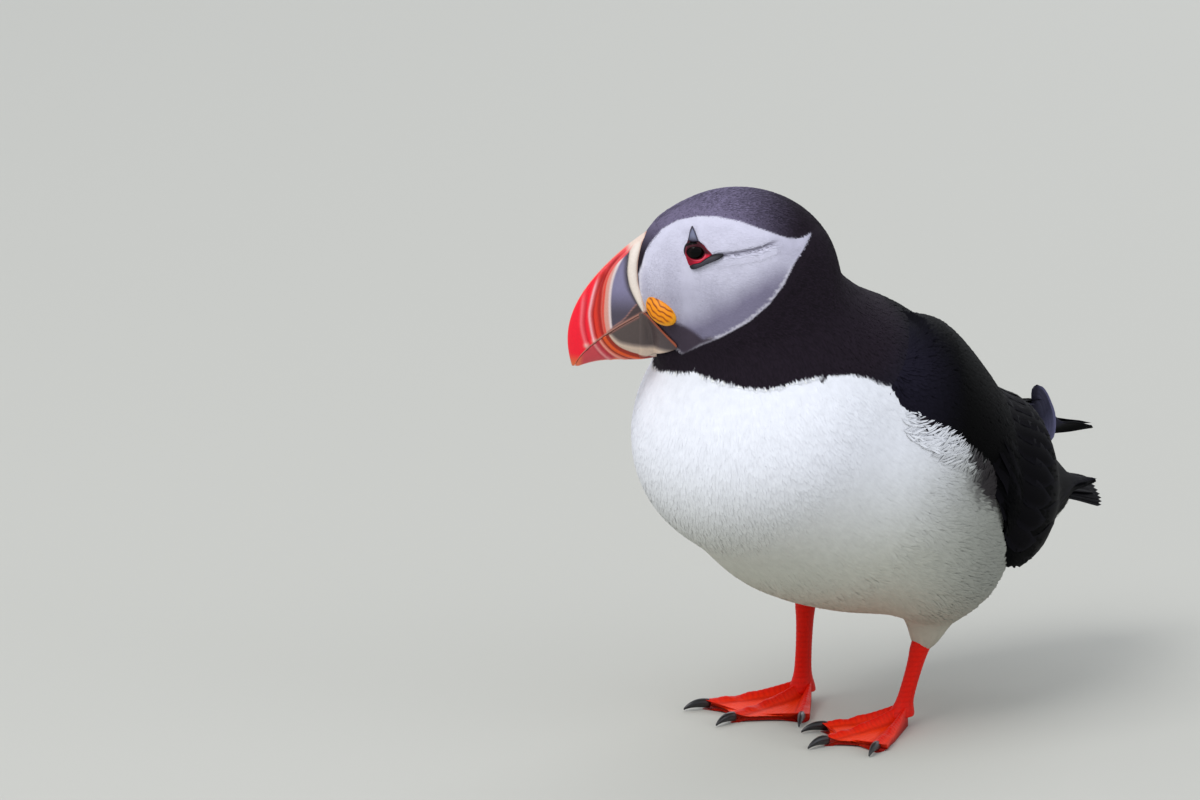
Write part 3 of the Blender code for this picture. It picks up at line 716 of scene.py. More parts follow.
def grow(name, seed, region, density, length, width, rise, bend, unruly=0.1, shade=0.8, parts=1,
         vary=0.05, thick=0.3, stray=0.09):
    """The blades of one region, in as many pieces as keep each one light.  They
    take the markings' colour along their length and shorten towards the border
    of black and white and that of the face."""
    root, up, flow, t, angle, place, rng = scatter(seed, region * density)
    _, face = markings(root, t, angle)
    edge = np.abs(from_belly(angle) - border_at(t))
    near = np.minimum(smooth(edge, 1.0, 7.0), smooth(np.abs(face), 0.3, 4.0) if t.max() > 7.4 else 1.0)
    size = length * (0.5 + 0.5 * near) * (0.25 + 0.75 * smooth(root[:, 2], 26.0, 46.0))
    sway = unruly * ripple(root, 11.0, seed) + 0.6 * unruly * ripple(root, 4.0, seed + 1)
    colour = []
    for s in BLADE_STOPS:
        move = flow * (0.8 * s * size)[:, None]
        colour.append(markings(root + up * 0.5 + move, *moved(t, angle, move))[0])
    colour = np.stack(colour, axis=1)
    for part in range(parts):
        pick = np.arange(part, len(root), parts)
        some = (root[pick], up[pick], flow[pick], t[pick], angle[pick], place[pick], rng)
        blades(name if parts == 1 else f"{name}_{part + 1}", some, size[pick], width, rise, bend, sway[pick],
               colour[pick], shade=shade, vary=vary, thick=thick, stray=stray)


grow("coat_breast", 11, is_white & (t_grid > 5.2), density=2.0, length=5.0, width=1.3, rise=0.13, bend=0.10,
     unruly=0.04, shade=1.0, parts=2, vary=0.015, thick=0.06, stray=0.03)
grow("coat_belly", 12, is_white & (t_grid <= 5.2), density=1.55, length=5.6, width=1.1, rise=0.17, bend=0.11,
     unruly=0.2, shade=0.98, parts=2, vary=0.035, thick=0.11, stray=0.07)
grow("coat_collar", 13, is_dark & (t_grid > 6.6) & (t_grid < 8.0) & bill_room, density=2.7, length=2.5,
     width=0.7, rise=0.25, bend=0.13, shade=0.85, vary=0.2)
grow("coat_crown", 14, is_dark & (t_grid >= 8.0) & bill_room, density=3.3, length=1.6, width=0.5, rise=0.28,
     bend=0.13, unruly=0.14, shade=0.6, vary=0.35)
grow("coat_back", 15, is_dark & (t_grid <= 6.6) & ~under_wing, density=1.3, length=3.8, width=0.9, rise=0.22,
     bend=0.13, unruly=0.08, shade=0.85, vary=0.2)
grow("coat_face", 16, is_face & bill_room, density=4.8, length=1.3, width=0.45, rise=0.22, bend=0.12,
     unruly=0.12, shade=0.95, parts=2)
# the breast is smooth: its blades cast no shadow on one another
for part in ("coat_breast_1", "coat_breast_2"):
    bpy.data.objects[part].visible_shadow = False


def flank_locks():
    """Long white locks along the edge of the wing.  They start by the border and
    curl up and back over the black, wavier towards the dark patch."""
    border_near = (turn_grid < border + 0.5) & (turn_grid > border - 12.0) & (t_grid > 4.05) & (t_grid < 5.9)
    root, up, flow, t, angle, place, rng = scatter(21, border_near * (0.35 + 0.5 * smooth(t_grid, 5.9, 5.3)))
    side = np.sign(180.0 - angle % 360.0)
    colour, _ = markings(root, t, angle)
    rearwards = smooth(t, 5.7, 4.7)
    sway = side * (0.15 + 0.45 * rearwards) + 0.5 * ripple(root, 5.0, 22)
    length = (3.5 + 5.0 * smooth(t, 5.9, 5.0)) * (1.0 - 0.5 * smooth(t, 5.1, 4.75))
    blades("flank_locks", (root + up * 0.3, up, flow, t, angle, place, rng), length, width=0.8, rise=0.20,
           bend=0.10, sway=sway, colour=colour, shade=0.85, vary=0.08, thick=0.2,
           curl=0.28 * side, stray=0.2)


flank_locks()


# ================================================================ wings
# Folded wings: a shell of flesh under small feathers, then rows of rounded
# coverts like slates, and long flight feathers that run out from under them.

VANE = np.array([(-1, 0), (0, 1), (1, 0), (0, -0.6)], float)        # sections, (across, out)
QUILL = np.array([(-1, 0), (-0.5, 0.8), (0, 1.5), (0.5, 0.8), (1, 0), (0, -0.7)], float)
# axis place, lower and upper angle, the wing's own least radius at both
WING_FRONT = [(6.55, 112, 134, 0, 0), (6.40, 106, 146, 0, 0), (6.0, 103, 155, 0, 0),
              (5.4, 103, 161, 0, 0), (5.0, 100.5, 164, 0, 0), (4.6, 96, 166, 0, 0),
              (4.3, 86.5, 167, 43, 0), (4.0, 60.5, 166, 46, 20), (3.75, 55, 161, 44.5, 26)]
WING_REAR = {
    "left": [(3.55, 60, 150, 40, 26), (3.38, 67, 142, 34, 19), (3.2, 76, 128, 27, 13),
             (2.85, 85, 108, 19.5, 10.5), (2.5, 92, 102, 16.5, 12), (2.35, 96, 101, 16, 15)],
    "right": [(3.5, 70, 161, 38.5, 28), (3.0, 80, 157, 32, 23), (2.6, 92, 154, 27, 24),
              (2.3, 104, 151, 24, 24), (2.1, 114, 148, 22, 22), (1.95, 124, 146, 21, 20),
              (1.7, 134, 147, 20, 20.5), (1.45, 145.5, 147.5, 20, 20)],
}
WING_RIM = linear("#121117")
QUILL_INK = linear("#070609")
LINING = linear("#4b4a5c")
# the barbs of wing feathers are hooked into a vane, which is sleeker than the coat
wing_finish = finish("sleek black feather", 0.6, shine=0.035, grain=0.10, scale=1.2)


def smooth_rows(rows, count):
    """Rows read at evenly spaced places along a Catmull-Rom curve through them."""
    rows = np.array(rows, float)
    rows = np.concatenate([[2 * rows[0] - rows[1]], rows, [2 * rows[-1] - rows[-2]]])
    x = np.linspace(1.0, len(rows) - 2.0, count)
    i = np.minimum(x.astype(int), len(rows) - 3)
    return through(rows, i, (x - i)[:, None])[0]


def wing_shell(word, side, rows=110, across=44):
    """Outer and inner face of a folded wing as in the solid: the body's reach or
    the wing's own least radius, whichever is more, with a bulging thickness."""
    table = smooth_rows(WING_FRONT + WING_REAR[word], rows)
    q = np.linspace(0.0, 1.0, across)
    t, low, high, least_low, least_high = (table[:, i:i + 1] for i in range(5))
    start, way = ray(t, side * (low + (high - low) * q))
    body = reach(start, way)
    least = least_low + (least_high - least_low) * q
    h = np.maximum(6.0 - np.abs(body - least), 0.0) / 6.0
    base = np.maximum(body, least) + h ** 3 + 0.6
    along = np.linspace(0.0, 1.0, rows)[:, None]
    upper = 0.2 * smooth(q, 0.45, 0.85)
    free = smooth(along, 0.42 - upper, 0.6 - upper)
    bulge = (1.0 - np.abs(2.0 * q - 1.0) ** 3) ** (1.25 - 0.65 * free)
    brim = -2.4 + 3.4 * free
    thick = brim + (5.2 * (1.0 - 0.75 * along) - brim) * bulge * smooth(along, -0.02, 0.26)
    inner = base + np.minimum(thick - 1.0, 0.0)
    return start + way * (base + thick)[..., None], start + way * inner[..., None], way


class Wing:
    """The outer face of one wing, read at places (p, q): p from the wrist to the
    tips, q from the lower edge to the upper."""

    def __init__(self, word, side):
        self.outer, self.inner, way = wing_shell(word, side)
        down = np.gradient(self.outer, axis=0)
        over = np.gradient(self.outer, axis=1)
        up = unit(np.cross(down, over))
        self.up = up * np.sign((up * way).sum(-1))[..., None]
        self.flow = unit(down)
        self.pace = np.linalg.norm(down, axis=-1) * (len(down) - 1)
        self.row = np.linalg.norm(over, axis=-1).sum(1)

    def read(self, grid, p, q):
        """A grid's values at (p, q), mixed from the four nearest of its points."""
        rows, across = grid.shape[:2]
        x, y = np.clip(p, 0, 1) * (rows - 1), np.clip(q, 0, 1) * (across - 1)
        i, j = np.minimum(x.astype(int), rows - 2), np.minimum(y.astype(int), across - 2)
        u, v = x - i, y - j
        if grid.ndim == 3:
            u, v = u[..., None], v[..., None]
        return ((grid[i, j] * (1 - u) + grid[i + 1, j] * u) * (1 - v)
                + (grid[i, j + 1] * (1 - u) + grid[i + 1, j + 1] * u) * v)


def bake_place(points):
    """Bake places by ring and angle round the body's axis, for feathers that are
    rooted on wings and tail rather than on the skin."""
    places = np.linspace(1.2, 9.0, 400)
    knots = axis(places)[0]
    y, z = points[..., 1], points[..., 2]
    near = np.argmin((y.reshape(-1, 1) - knots[:, 1]) ** 2 + (z.reshape(-1, 1) - knots[:, 2]) ** 2, axis=1)
    t = places[near].reshape(y.shape)
    middle, down = axis(t)
    off = points - middle
    angle = np.degrees(np.arctan2(off[..., 0], (off * down).sum(-1))) % 360.0
    row = np.interp(t, SKIN_T, np.arange(len(SKIN_T)))
    return np.stack([angle / 360.0, (row + 1) / (len(SKIN_T) + 1.0)], -1)


def quills(name, path, up, half, thick, section, paint):
    """Wing or tail feathers along paths of points, their flat side towards `up`."""
    flow = unit(np.gradient(path, axis=1))
    up = square_to(up, flow)
    return feathers(name, path, np.cross(up, flow), up, half, np.full_like(half, thick), section,
                    wing_finish, paint, bake_place(path[:, 0]))


def lay(wing, name, p0, q0, p1, q1, width, sink, lift, outline, section, colour, rim, thick):
    """Feathers along the wing from (p0, q0) to (p1, q1), sunk at the root and
    lifted at the tip; the outline gives half widths at even stops.  Their colour
    turns to the rim's along both edges and at the tip."""
    stops = len(outline)
    s = np.linspace(0.0, 1.0, stops)[None, :]
    p = p0[:, None] + (p1 - p0)[:, None] * s
    q = q0[:, None] + (q1 - q0)[:, None] * s ** 1.4
    up = wing.read(wing.up, p, q)
    height = -sink + (sink + lift[:, None]) * s ** 0.8
    path = wing.read(wing.outer, p, q) + unit(up) * height[..., None]
    half = 0.5 * width[:, None] * np.array(outline)[None, :]
    share = (np.abs(section[:, 0]) > 0.9) * np.linspace(0.2, 1.0, stops - 2)[:, None]
    share[-1] = np.maximum(share[-1], 0.8)
    inner = mix(colour[:, None, None], rim[:, None, None], share)
    paint = np.concatenate([colour[:, None], inner.reshape(len(p0), -1, 3), rim[:, None]], 1)
    return quills(name, path, up, half, thick, section, paint)


COVERT = [0.0, 0.62, 0.98, 0.9, 0.5, 0.0]
ROUND_QUILL = [0.0, 0.7, 0.9, 1.0, 1.0, 1.0, 0.97, 0.88, 0.66, 0.32, 0.0]
POINT_QUILL = [0.0, 0.8, 1.0, 1.0, 0.98, 0.92, 0.82, 0.68, 0.5, 0.27, 0.0]


def covert_rows(wing, seed, first, last, length, width):
    """Places of covert rows between two parts of the wing, each row shifted by
    half a feather: 0.62 of a width lies between feathers and 0.36 of a length
    between rows."""
    rng = np.random.default_rng(seed)
    p0, q0 = [], []
    p, k = first, 0
    while p < last:
        here = wing.row[int(p * (len(wing.row) - 1))]
        n = max(3, int(here / (width * 0.62)))
        q = (np.arange(n) + 0.5 * (k % 2) + 0.25) / n
        p0 += [p] * n
        q0 += list(q)
        pace = wing.pace[int(p * (len(wing.pace) - 1)), wing.pace.shape[1] // 2]
        p += 0.36 * length / pace
        k += 1
    p0, q0 = np.array(p0), np.array(q0)
    p0 = p0 + rng.normal(0, 0.003, len(p0))
    q0 = np.clip(q0 + rng.normal(0, 0.006, len(q0)), 0.01, 0.99)
    pace = wing.read(wing.pace, p0, q0)
    return p0, q0, np.minimum(p0 + length * rng.uniform(0.9, 1.1, len(p0)) / pace, 1.0), rng


def wing_roots(wing, seed, first, last, density):
    """Roots of small blades over the wing between two of its places, per mm^2."""
    rng = np.random.default_rng(seed)
    rows, across = wing.outer.shape[:2]
    down, over = (np.linalg.norm(np.gradient(wing.outer, axis=k), axis=-1) for k in (0, 1))
    p_grid = np.linspace(0, 1, rows)[:, None] * np.ones((1, across))
    weight = (down * over * density * smooth(p_grid, last, last - 0.15) * (p_grid >= first)).ravel()
    count = int(weight.sum())
    pick = np.arange(count) + rng.random(count)
    cell = np.minimum(np.searchsorted(np.cumsum(weight), pick), weight.size - 1)
    p = (cell // across + rng.uniform(-0.5, 0.5, count)) / (rows - 1)
    q = (cell % across + rng.uniform(-0.5, 0.5, count)) / (across - 1)
    p, q = np.clip(p, 0, 1), np.clip(q, 0, 1)
    root, up = wing.read(wing.outer, p, q), unit(wing.read(wing.up, p, q))
    flow = square_to(wing.read(wing.flow, p, q), up)
    return root - up * 0.4, up, flow, p, q, bake_place(root), rng


def dress_wing(word, side):
    """One wing from the inside out: the short feathers of its mantle, the shell
    they grow on, coverts, rounded inner quills in two tiers and the primaries."""
    wing = Wing(word, side)
    roots = wing_roots(wing, 60, 0.0, 0.62, 1.5)
    blades(f"mantle_{word}", roots, length=3.8, width=1.25, rise=0.22, bend=0.12,
           sway=0.06 * ripple(roots[0], 12.0, 5), colour=inky(roots[0]),
           shade=0.95, vary=0.06, thick=0.2, material=wing_finish)
    rings = np.concatenate([wing.outer - wing.up * 0.5, wing.inner[:, ::-1]], axis=1)
    p, q = np.linspace(0, 1, len(wing.outer))[:, None], np.linspace(0, 1, wing.outer.shape[1])
    hollow = smooth(p, 0.52, 0.60) * smooth(p, 0.90, 0.84) * smooth(q, 0.35, 0.6) * (side < 0)
    lining = mix(inky(wing.inner), LINING, hollow)
    paint = np.concatenate([inky(wing.outer), lining[:, ::-1]], axis=1)
    core = ringed(f"wing_core_{word}", rings, paint, wing_finish, place=bake_place)
    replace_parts(core, f"wing_{word}")
    # coverts behind the short feathers of the arm, the larger ones over the quills
    for n, (first, last, length, width) in enumerate(((0.40, 0.47, 8.5, 6.0), (0.47, 0.62, 12.0, 7.5))):
        p0, q0, p1, rng = covert_rows(wing, 40 + n, first, last, length, width)
        shade = rng.uniform(0.85, 1.15, len(p0))[:, None] * inky(wing.read(wing.outer, p0, q0))
        lay(wing, f"coverts_{word}_{n + 1}", p0, q0, p1, q0, width * rng.uniform(0.9, 1.1, len(p0)), 1.0,
            rng.uniform(-0.05, 0.12, len(p0)), COVERT, VANE, shade, shade * 1.15, 0.14)

    def flight(name, root, q, tip, end, width, sink, lift, outline):
        """A rank of quills from (root, q) to (tip, end), black with a soft rim."""
        count = len(q)
        lay(wing, f"{name}_{word}", np.full(count, root), q, tip, end, np.full(count, width), sink, lift,
            outline, QUILL, np.tile(QUILL_INK, (count, 1)), np.tile(WING_RIM, (count, 1)), 0.22)

    tiers = (("scapulars", 0.40, 0.58, 0.68, 10), ("secondaries", 0.50, 0.70, 0.84, 9))
    for name, root, near, far, count in tiers:
        q = np.linspace(0.06, 0.94, count)
        tip = near + (far - near) * np.linspace(0.0, 1.0, count)
        flight(name, root, q, tip, 0.06 + 0.88 * q, 10.0, 0.9, np.full(count, 0.25), ROUND_QUILL)
    flight("primaries", 0.55, np.linspace(0.05, 0.6, 9), np.linspace(0.80, 1.0, 9),
           np.linspace(0.10, 0.6, 9), 7.0, 0.8, np.linspace(0.1, 0.4, 9), POINT_QUILL)


dress_wing("left", 1.0)
dress_wing("right", -1.0)


# ================================================================ raised quills
# The right wing's inner quills stand up behind the back as one rounded grey
# leaf: vanes of hooked barbs, each quill in front of the next and a little
# shorter, pale where their rear edges show beside one another.

# a quill's (left, back, up) and its half width, from foot to tip
LEAF = [(-13.0, 115.4, 68.9, 0.0), (-12.6, 115.2, 72.3, 2.4), (-12.2, 114.5, 76.2, 3.25),
        (-11.7, 113.3, 80.2, 3.5), (-11.2, 111.5, 83.9, 3.25), (-10.7, 109.8, 87.3, 2.8),
        (-10.3, 108.3, 90.3, 1.8), (-10.0, 107.9, 91.6, 0.0)]
LEAF_BODY, LEAF_DARK, LEAF_RIM = linear("#3a3947"), linear("#2b2b38"), linear("#7e7da2")


def raised_tertials(count=5, stops=15):
    """Five quills from a common foot along the leaf's curve: each lies 0.35 mm in
    front of the one before, ends a little lower and is shifted aside by up to
    0.95 mm, most in its lower half."""
    shape = smooth_rows(LEAF, 81)
    parts = np.linspace(0.0, 1.0, len(shape))
    s = np.linspace(0.0, 1.0, stops)
    step = np.arange(count)[:, None]
    u = s[None, :] * (1.0 - 0.07 * step)
    path = np.stack([np.interp(u, parts, shape[:, i]) for i in range(3)], -1)
    flow = unit(np.gradient(path, axis=1))
    up = square_to(np.broadcast_to(np.array([0.69, -0.68, 0.24]), path.shape), flow)
    across = np.cross(up, flow)
    nested = 0.95 * step * (smooth(u, 0.0, 0.2) - 0.75 * smooth(u, 0.35, 0.85))
    rearwards = np.array([0.7, 0.7, 0.0])
    path = path + up * 0.35 * step[..., None] - rearwards * nested[..., None]
    half = np.stack([np.interp(s, parts, shape[:, 3])] * count)
    edge = np.where(np.abs(QUILL[:, 0]) > 0.9, 1.0, np.where(np.abs(QUILL[:, 0]) > 0.4, 0.42, 0.0))
    rear = edge * np.where(QUILL[:, 0] * (across[0, 5] @ rearwards) > 0, 1.0, 0.25)
    at = s[1:-1][None, :, None]
    pale = np.where(step[..., None] == 0, 1.0 - 0.45 * at, np.maximum(0.95 - 1.5 * at, 0.12))
    body = mix(LEAF_DARK, LEAF_BODY, smooth(at, 0.45, 0.95))
    body = mix(body, LEAF_RIM, rear[None, None, :] * pale)
    ends = np.broadcast_to(LEAF_BODY, (count, 1, 3))
    paint = np.concatenate([ends, body.reshape(count, -1, 3), ends], axis=1)
    feathers("tertials_right", path, across, up, half, np.full_like(half, 0.28), QUILL, wing_finish,
             paint, bake_place(path[:, 0]))


raised_tertials()


# ================================================================ tail
# Sixteen short stiff quills in a fan, the middle pair on top, that grow from a
# low root of flesh under the rump and lie on one another like a roof.

TAIL = [(0, 82, 64), (0, 103, 61.5), (0, 120, 56)]
TAIL_HALF = 4.3 * np.array([0.0, 0.6, 0.8, 0.9, 1.0, 1.0, 1.0, 0.96, 0.86, 0.64, 0.0])


def curve(points, u):
    """Bezier curve of any degree."""
    points, u = np.asarray(points, float), np.asarray(u, float)[..., None]
    degree = len(points) - 1
    return sum(math.comb(degree, i) * u ** i * (1 - u) ** (degree - i) * points[i]
               for i in range(degree + 1))


def full_turn(count):
    """Evenly spaced angles once round, in radians."""
    return np.arange(count) * 2 * math.pi / count


def make_tail(count=16):
    """Quills beside a common spine: each turns out with its place in the fan and
    hangs lower, tilted with the roof; the root is rings round the same spine."""
    order = np.argsort(-np.abs(np.linspace(-1, 1, count)))
    fan = np.linspace(-1.0, 1.0, count)[order]
    s = np.linspace(0.0, 1.0, len(TAIL_HALF))
    u = s[None, :] * (1.0 - 0.12 * np.abs(fan) ** 3)[:, None]
    spine = curve(TAIL, u)
    ahead = unit(np.gradient(spine, axis=1))
    side = np.broadcast_to(np.array([1.0, 0.0, 0.0]), spine.shape)
    up = unit(np.cross(side, ahead))
    up = up * np.sign(up[..., 2:3])
    wide = 12.4 * (0.55 + 0.5 * u)
    roof = ((1.0 - 1.6 * np.abs(fan))[:, None] * (1.0 - s) + (4.8 - 8.0 * np.abs(fan))[:, None] * s
            + 1.2 * np.sin(math.pi * s))
    path = spine + side * (fan[:, None] * wide)[..., None] + up * roof[..., None]
    tilt = (np.sign(fan) * smooth(np.abs(fan), 0.0, 0.25))[:, None] * (0.2 + 0.25 * s)
    up = up * np.cos(tilt)[..., None] + side * np.sin(tilt)[..., None]
    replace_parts(quills("tail_quills", path, up, np.tile(TAIL_HALF, (count, 1)), 0.3, QUILL,
                       np.tile(QUILL_INK, (count, len(s), 1))), "tail")
    turn = full_turn(28)
    rings = []
    for v in np.linspace(0.0, 0.9, 14):
        point = curve(TAIL, v)
        lift = np.cross([1.0, 0, 0], unit(curve(TAIL, v + 0.02) - point))
        rings.append(point + np.cos(turn)[:, None] * np.array([1.0, 0, 0]) * 12.5 * (0.75 + 0.25 * v)
                     * math.sqrt(1 - v ** 5) + np.sin(turn)[:, None] * lift * (2.2 - 1.6 * v))
    ringed("tail_root", rings, np.tile(QUILL_INK, (14, 28, 1)), wing_finish,
           place=bake_place)


make_tail()


# ================================================================ bill
# A tall thin bill in horny plates over bone: a raised cream flange at the base,
# a slate plate, a cream and salmon band, then red with two pale ribs and a
# groove behind each.  Worked out on the same outlines as the solids.

CULMEN = [(18, 19), (27.5, 21.0), (44.4, 2.6), (61.6, -7.8), (53.6, -30.6)]
MOUTH = [(18, -4), (29.2, -8.9), (50.7, -20.7), (53.2, -29.4)]
GONYS = [(12, -17), (30.9, -33.9), (36.5, -23.3), (52.4, -29.6)]
BILL_HALF_WIDTH = 8.8
# lines down the upper bill: (up, ahead), from the mouth to the culmen
FLANGE_FRONT = [(-12, 30.8), (-10.4, 31.7), (-6.1, 34.2), (-2.5, 35.8), (1.8, 36.6), (6.1, 36.3),
                (9.5, 35.7), (13, 35.5)]
PLATE_FRONT = [(-17, 40.9), (-14.7, 41.4), (-10.4, 41.7), (-5.5, 41.6), (-0.9, 40.9), (3.4, 39.3),
               (8.1, 36.5), (11, 34.6)]
BAND_FRONT = [(-18, 42.6), (-17, 43.1), (-12.4, 43.8), (-6.7, 43.6), (-1, 42.7), (3.6, 40.3),
              (7.9, 36.1), (12, 33.0)]
GROOVE = [(-20, 43.6), (-18.6, 44.1), (-16.2, 44.8), (-11.2, 45.4), (-6.9, 45.2), (-2.7, 44.7),
          (1.5, 43.1), (5.4, 40.3), (9.2, 36.4)]
RIB_ONE = [(-21.2, 46.3), (-20.2, 47.0), (-16.3, 47.9), (-12, 48.4), (-8.4, 47.9), (-4.9, 47.1),
           (-1.4, 45.9), (3, 43.9)]
RIB_TWO = [(-22.9, 48.9), (-21.5, 49.6), (-18.3, 50.5), (-15, 51.0), (-11.5, 50.8), (-7.3, 50.3),
           (-3, 49.0), (3, 46.4)]
# lines along the bill, (ahead, up): the dark wedge's top, the lower bill's plate
# and the pale stripe round its tip
WEDGE_TOP = [(31.0, -6.0), (34.1, -8.3), (37.5, -12.6), (40.6, -15.1), (43, -17.4), (46, -20.6)]
LOWER_PLATE = [(18, -21.0), (24.1, -22.0), (32.5, -21.8), (36, -21.3), (38.9, -20.4), (41.3, -18.2),
               (43, -16)]
STRIPE = [(24.0, -27.2), (29.0, -26.0), (34.6, -24.5), (38.9, -22.4), (41.6, -19.6), (43.0, -16.5)]


def line(table, at):
    """A line's other coordinate at a place, through its points in a smooth curve."""
    table = smooth_rows(sorted(table), 80)
    return np.interp(at, table[:, 0], table[:, 1])


def upper_bill(a, b, v):
    """Relief in millimetres and colour of the upper bill at (ahead, up), v of the
    way from the mouth to the ridge: each plate, rib and groove is a step or a
    bell across its own line, and colours are laid over one another."""
    rear, front = line(FLANGE_REAR, b), line(FLANGE_FRONT, b)
    plate, band, groove = line(PLATE_FRONT, b), line(BAND_FRONT, b), line(GROOVE, b)
    one, two = line(RIB_ONE, b), line(RIB_TWO, b)
    relief = 0.75 - 0.45 * smooth(v, 0.7, 1.0)
    relief = relief * smooth(a, rear - 0.5, rear + 0.9) * smooth(a, front + 0.2, front - 1.0)
    relief = np.where(a < rear, 0.35, relief)
    relief += 0.35 * bell(a - 0.5 * (plate + band), 0.8) - 0.45 * bell(a - groove, 0.5)
    relief += 0.22 * bell(a - groove - 1.3, 0.7) - 0.40 * bell(a - one + 0.95, 0.38)
    relief += 0.34 * bell(a - one, 0.45) - 0.32 * bell(a - two + 0.9, 0.38) * smooth(b, 1.0, -3.0)
    relief += 0.30 * bell(a - two, 0.5) * smooth(b, 1.0, -3.0)
    relief -= 0.12 * smooth(a, front, front + 1.5) * smooth(a, plate, plate - 1.5)
    slate_dark = np.maximum(smooth(b, -2.0, -12.0), smooth(a, front + 1.8, front + 0.1))
    slate = layered(linear("#847f9f"), ("#4d4655", slate_dark))
    tint = layered(linear("#ead9d8"), ("#d99a8c", smooth(a, plate + 0.3, plate + 1.0)))
    red = layered(linear("#e3341f"), ("#f90a2c", smooth(a, one - 1.5, one + 1.5)),
                  ("#f44a5c", 0.6 * smooth(b, -1.0, 5.0)))
    colour = layered(
        linear("#b4684e"),
        ("#ded0c4", smooth(a, rear + 0.15, rear + 0.7)),
        ("#efe3d8", bell(a - 0.5 * (rear + front), 1.1)),
        ("#2d2b36", bell(a - front, 0.32) * (a < plate)),
        (slate, smooth(a, front - 0.1, front + 0.25) * (front < plate)),
        (tint, smooth(a, plate - 0.25, plate + 0.25)),
        (red, smooth(a, band - 0.2, band + 0.25)),
        ("#d27f72", 0.5 * bell(a - groove + 0.75, 0.35) * (a > band)),
        ("#9c0d12", 0.85 * bell(a - groove, 0.5) * smooth(b, 9.0, 5.0)),
        ("#a00c18", 0.7 * bell(a - one + 1.0, 0.4) * smooth(b, 3.0, -1.0)),
        ("#f6b7bd", 0.9 * bell(a - one, 0.45) * smooth(b, 1.0, -4.0)),
        ("#bd0a26", 0.6 * bell(a - two + 0.9, 0.4) * smooth(b, -4.0, -9.0)),
        ("#f4757f", 0.75 * bell(a - two, 0.55) * smooth(b, -4.0, -9.0)))
    # two pale knobs at the ends of the ribs, by the mouth
    for x, y in ((46.8, -20.4), (49.4, -22.0)):
        away = np.hypot(a - x, b - y)
        colour = layered(colour, ("#efc1b4", 0.8 * bell(away, 0.75)))
        relief = relief + 0.3 * bell(away, 0.8)
    top = line(WEDGE_TOP, a) - b
    wedge = smooth(top, -0.25, 0.25) * smooth(a, front - 0.1, front + 0.3)
    fringe = 0.75 * bell(top - 0.1, 0.28) * smooth(a, 45.0, 43.0) * smooth(a, front, front + 0.4)
    return relief, layered(
        colour,
        ("#47393c", wedge * smooth(a, 44.0, 42.5)),
        ("#b07f76", fringe),
        ("#b98273", 0.85 * smooth(v, 0.045, 0.02)),
        # a painted highlight along the culmen's ridge
        ("#f2a084", 0.8 * smooth(v, 0.985, 0.997) * smooth(a, 34.0, 38.0)),
        ("#e8d2c4", smooth(v, 0.9, 0.96) * smooth(a, 37.5, 35.0) * smooth(a, 30.0, 31.5)),
        ("#dd6a3c", smooth(b, -24.5, -29.0) * smooth(a, 50.5, 52.5)))


def lower_bill(a, b, v):
    """Relief in millimetres and colour of the lower bill at (ahead, up), v of the
    way from the mouth to the keel: stripes and ribs follow the stripe's line at
    the distance d from it."""
    d, _ = near_line(a, b, smooth_rows(STRIPE, 24))
    below = line(LOWER_PLATE, a) - b
    far = smooth(d, 3.4, 4.0)
    colour = layered(
        linear("#4a3d3f"),
        ("#5a4e4c", smooth(a, 24.0, 34.0)),
        ("#8d7d75", smooth(below, -1.0, 0.0)),
        ("#dcc4b0", smooth(below, -0.2, 1.0)),
        ("#a02a14", smooth(d, -0.3, 0.2)),
        ("#ee5a1e", smooth(d, 0.8, 1.3)),
        ("#8e2014", 0.9 * bell(d - 2.5, 0.35)),
        ("#eb9f90", 0.9 * bell(d - 3.2, 0.4)),
        ("#c43040", far),
        ("#ec9694", 0.85 * bell(d - 5.4, 0.45)),
        ("#d3464f", smooth(d, 5.8, 6.8)),
        ("#ec7250", np.maximum(smooth(a, 50.0, 52.0), smooth(v, 0.86, 0.95) * far)),
        ("#8a5f57", 0.8 * smooth(v, 0.05, 0.02) * smooth(d, 1.0, -0.5)))
    relief = 0.30 * bell(below - 0.9, 0.8) - 0.35 * bell(d - 0.2, 0.5) + 0.2 * bell(d - 1.5, 0.6)
    relief += -0.3 * bell(d - 2.5, 0.35) + 0.3 * bell(d - 3.2, 0.45) + 0.25 * bell(d - 5.4, 0.5)
    return relief - 0.25 * bell(d - 4.4, 0.5), colour


# horn is smooth with a soft shine, faintly uneven where it grows in plates
bill_finish = finish("polished horn plates", 0.33, shine=0.4, grain=0.05, scale=0.6, relief=0.03)


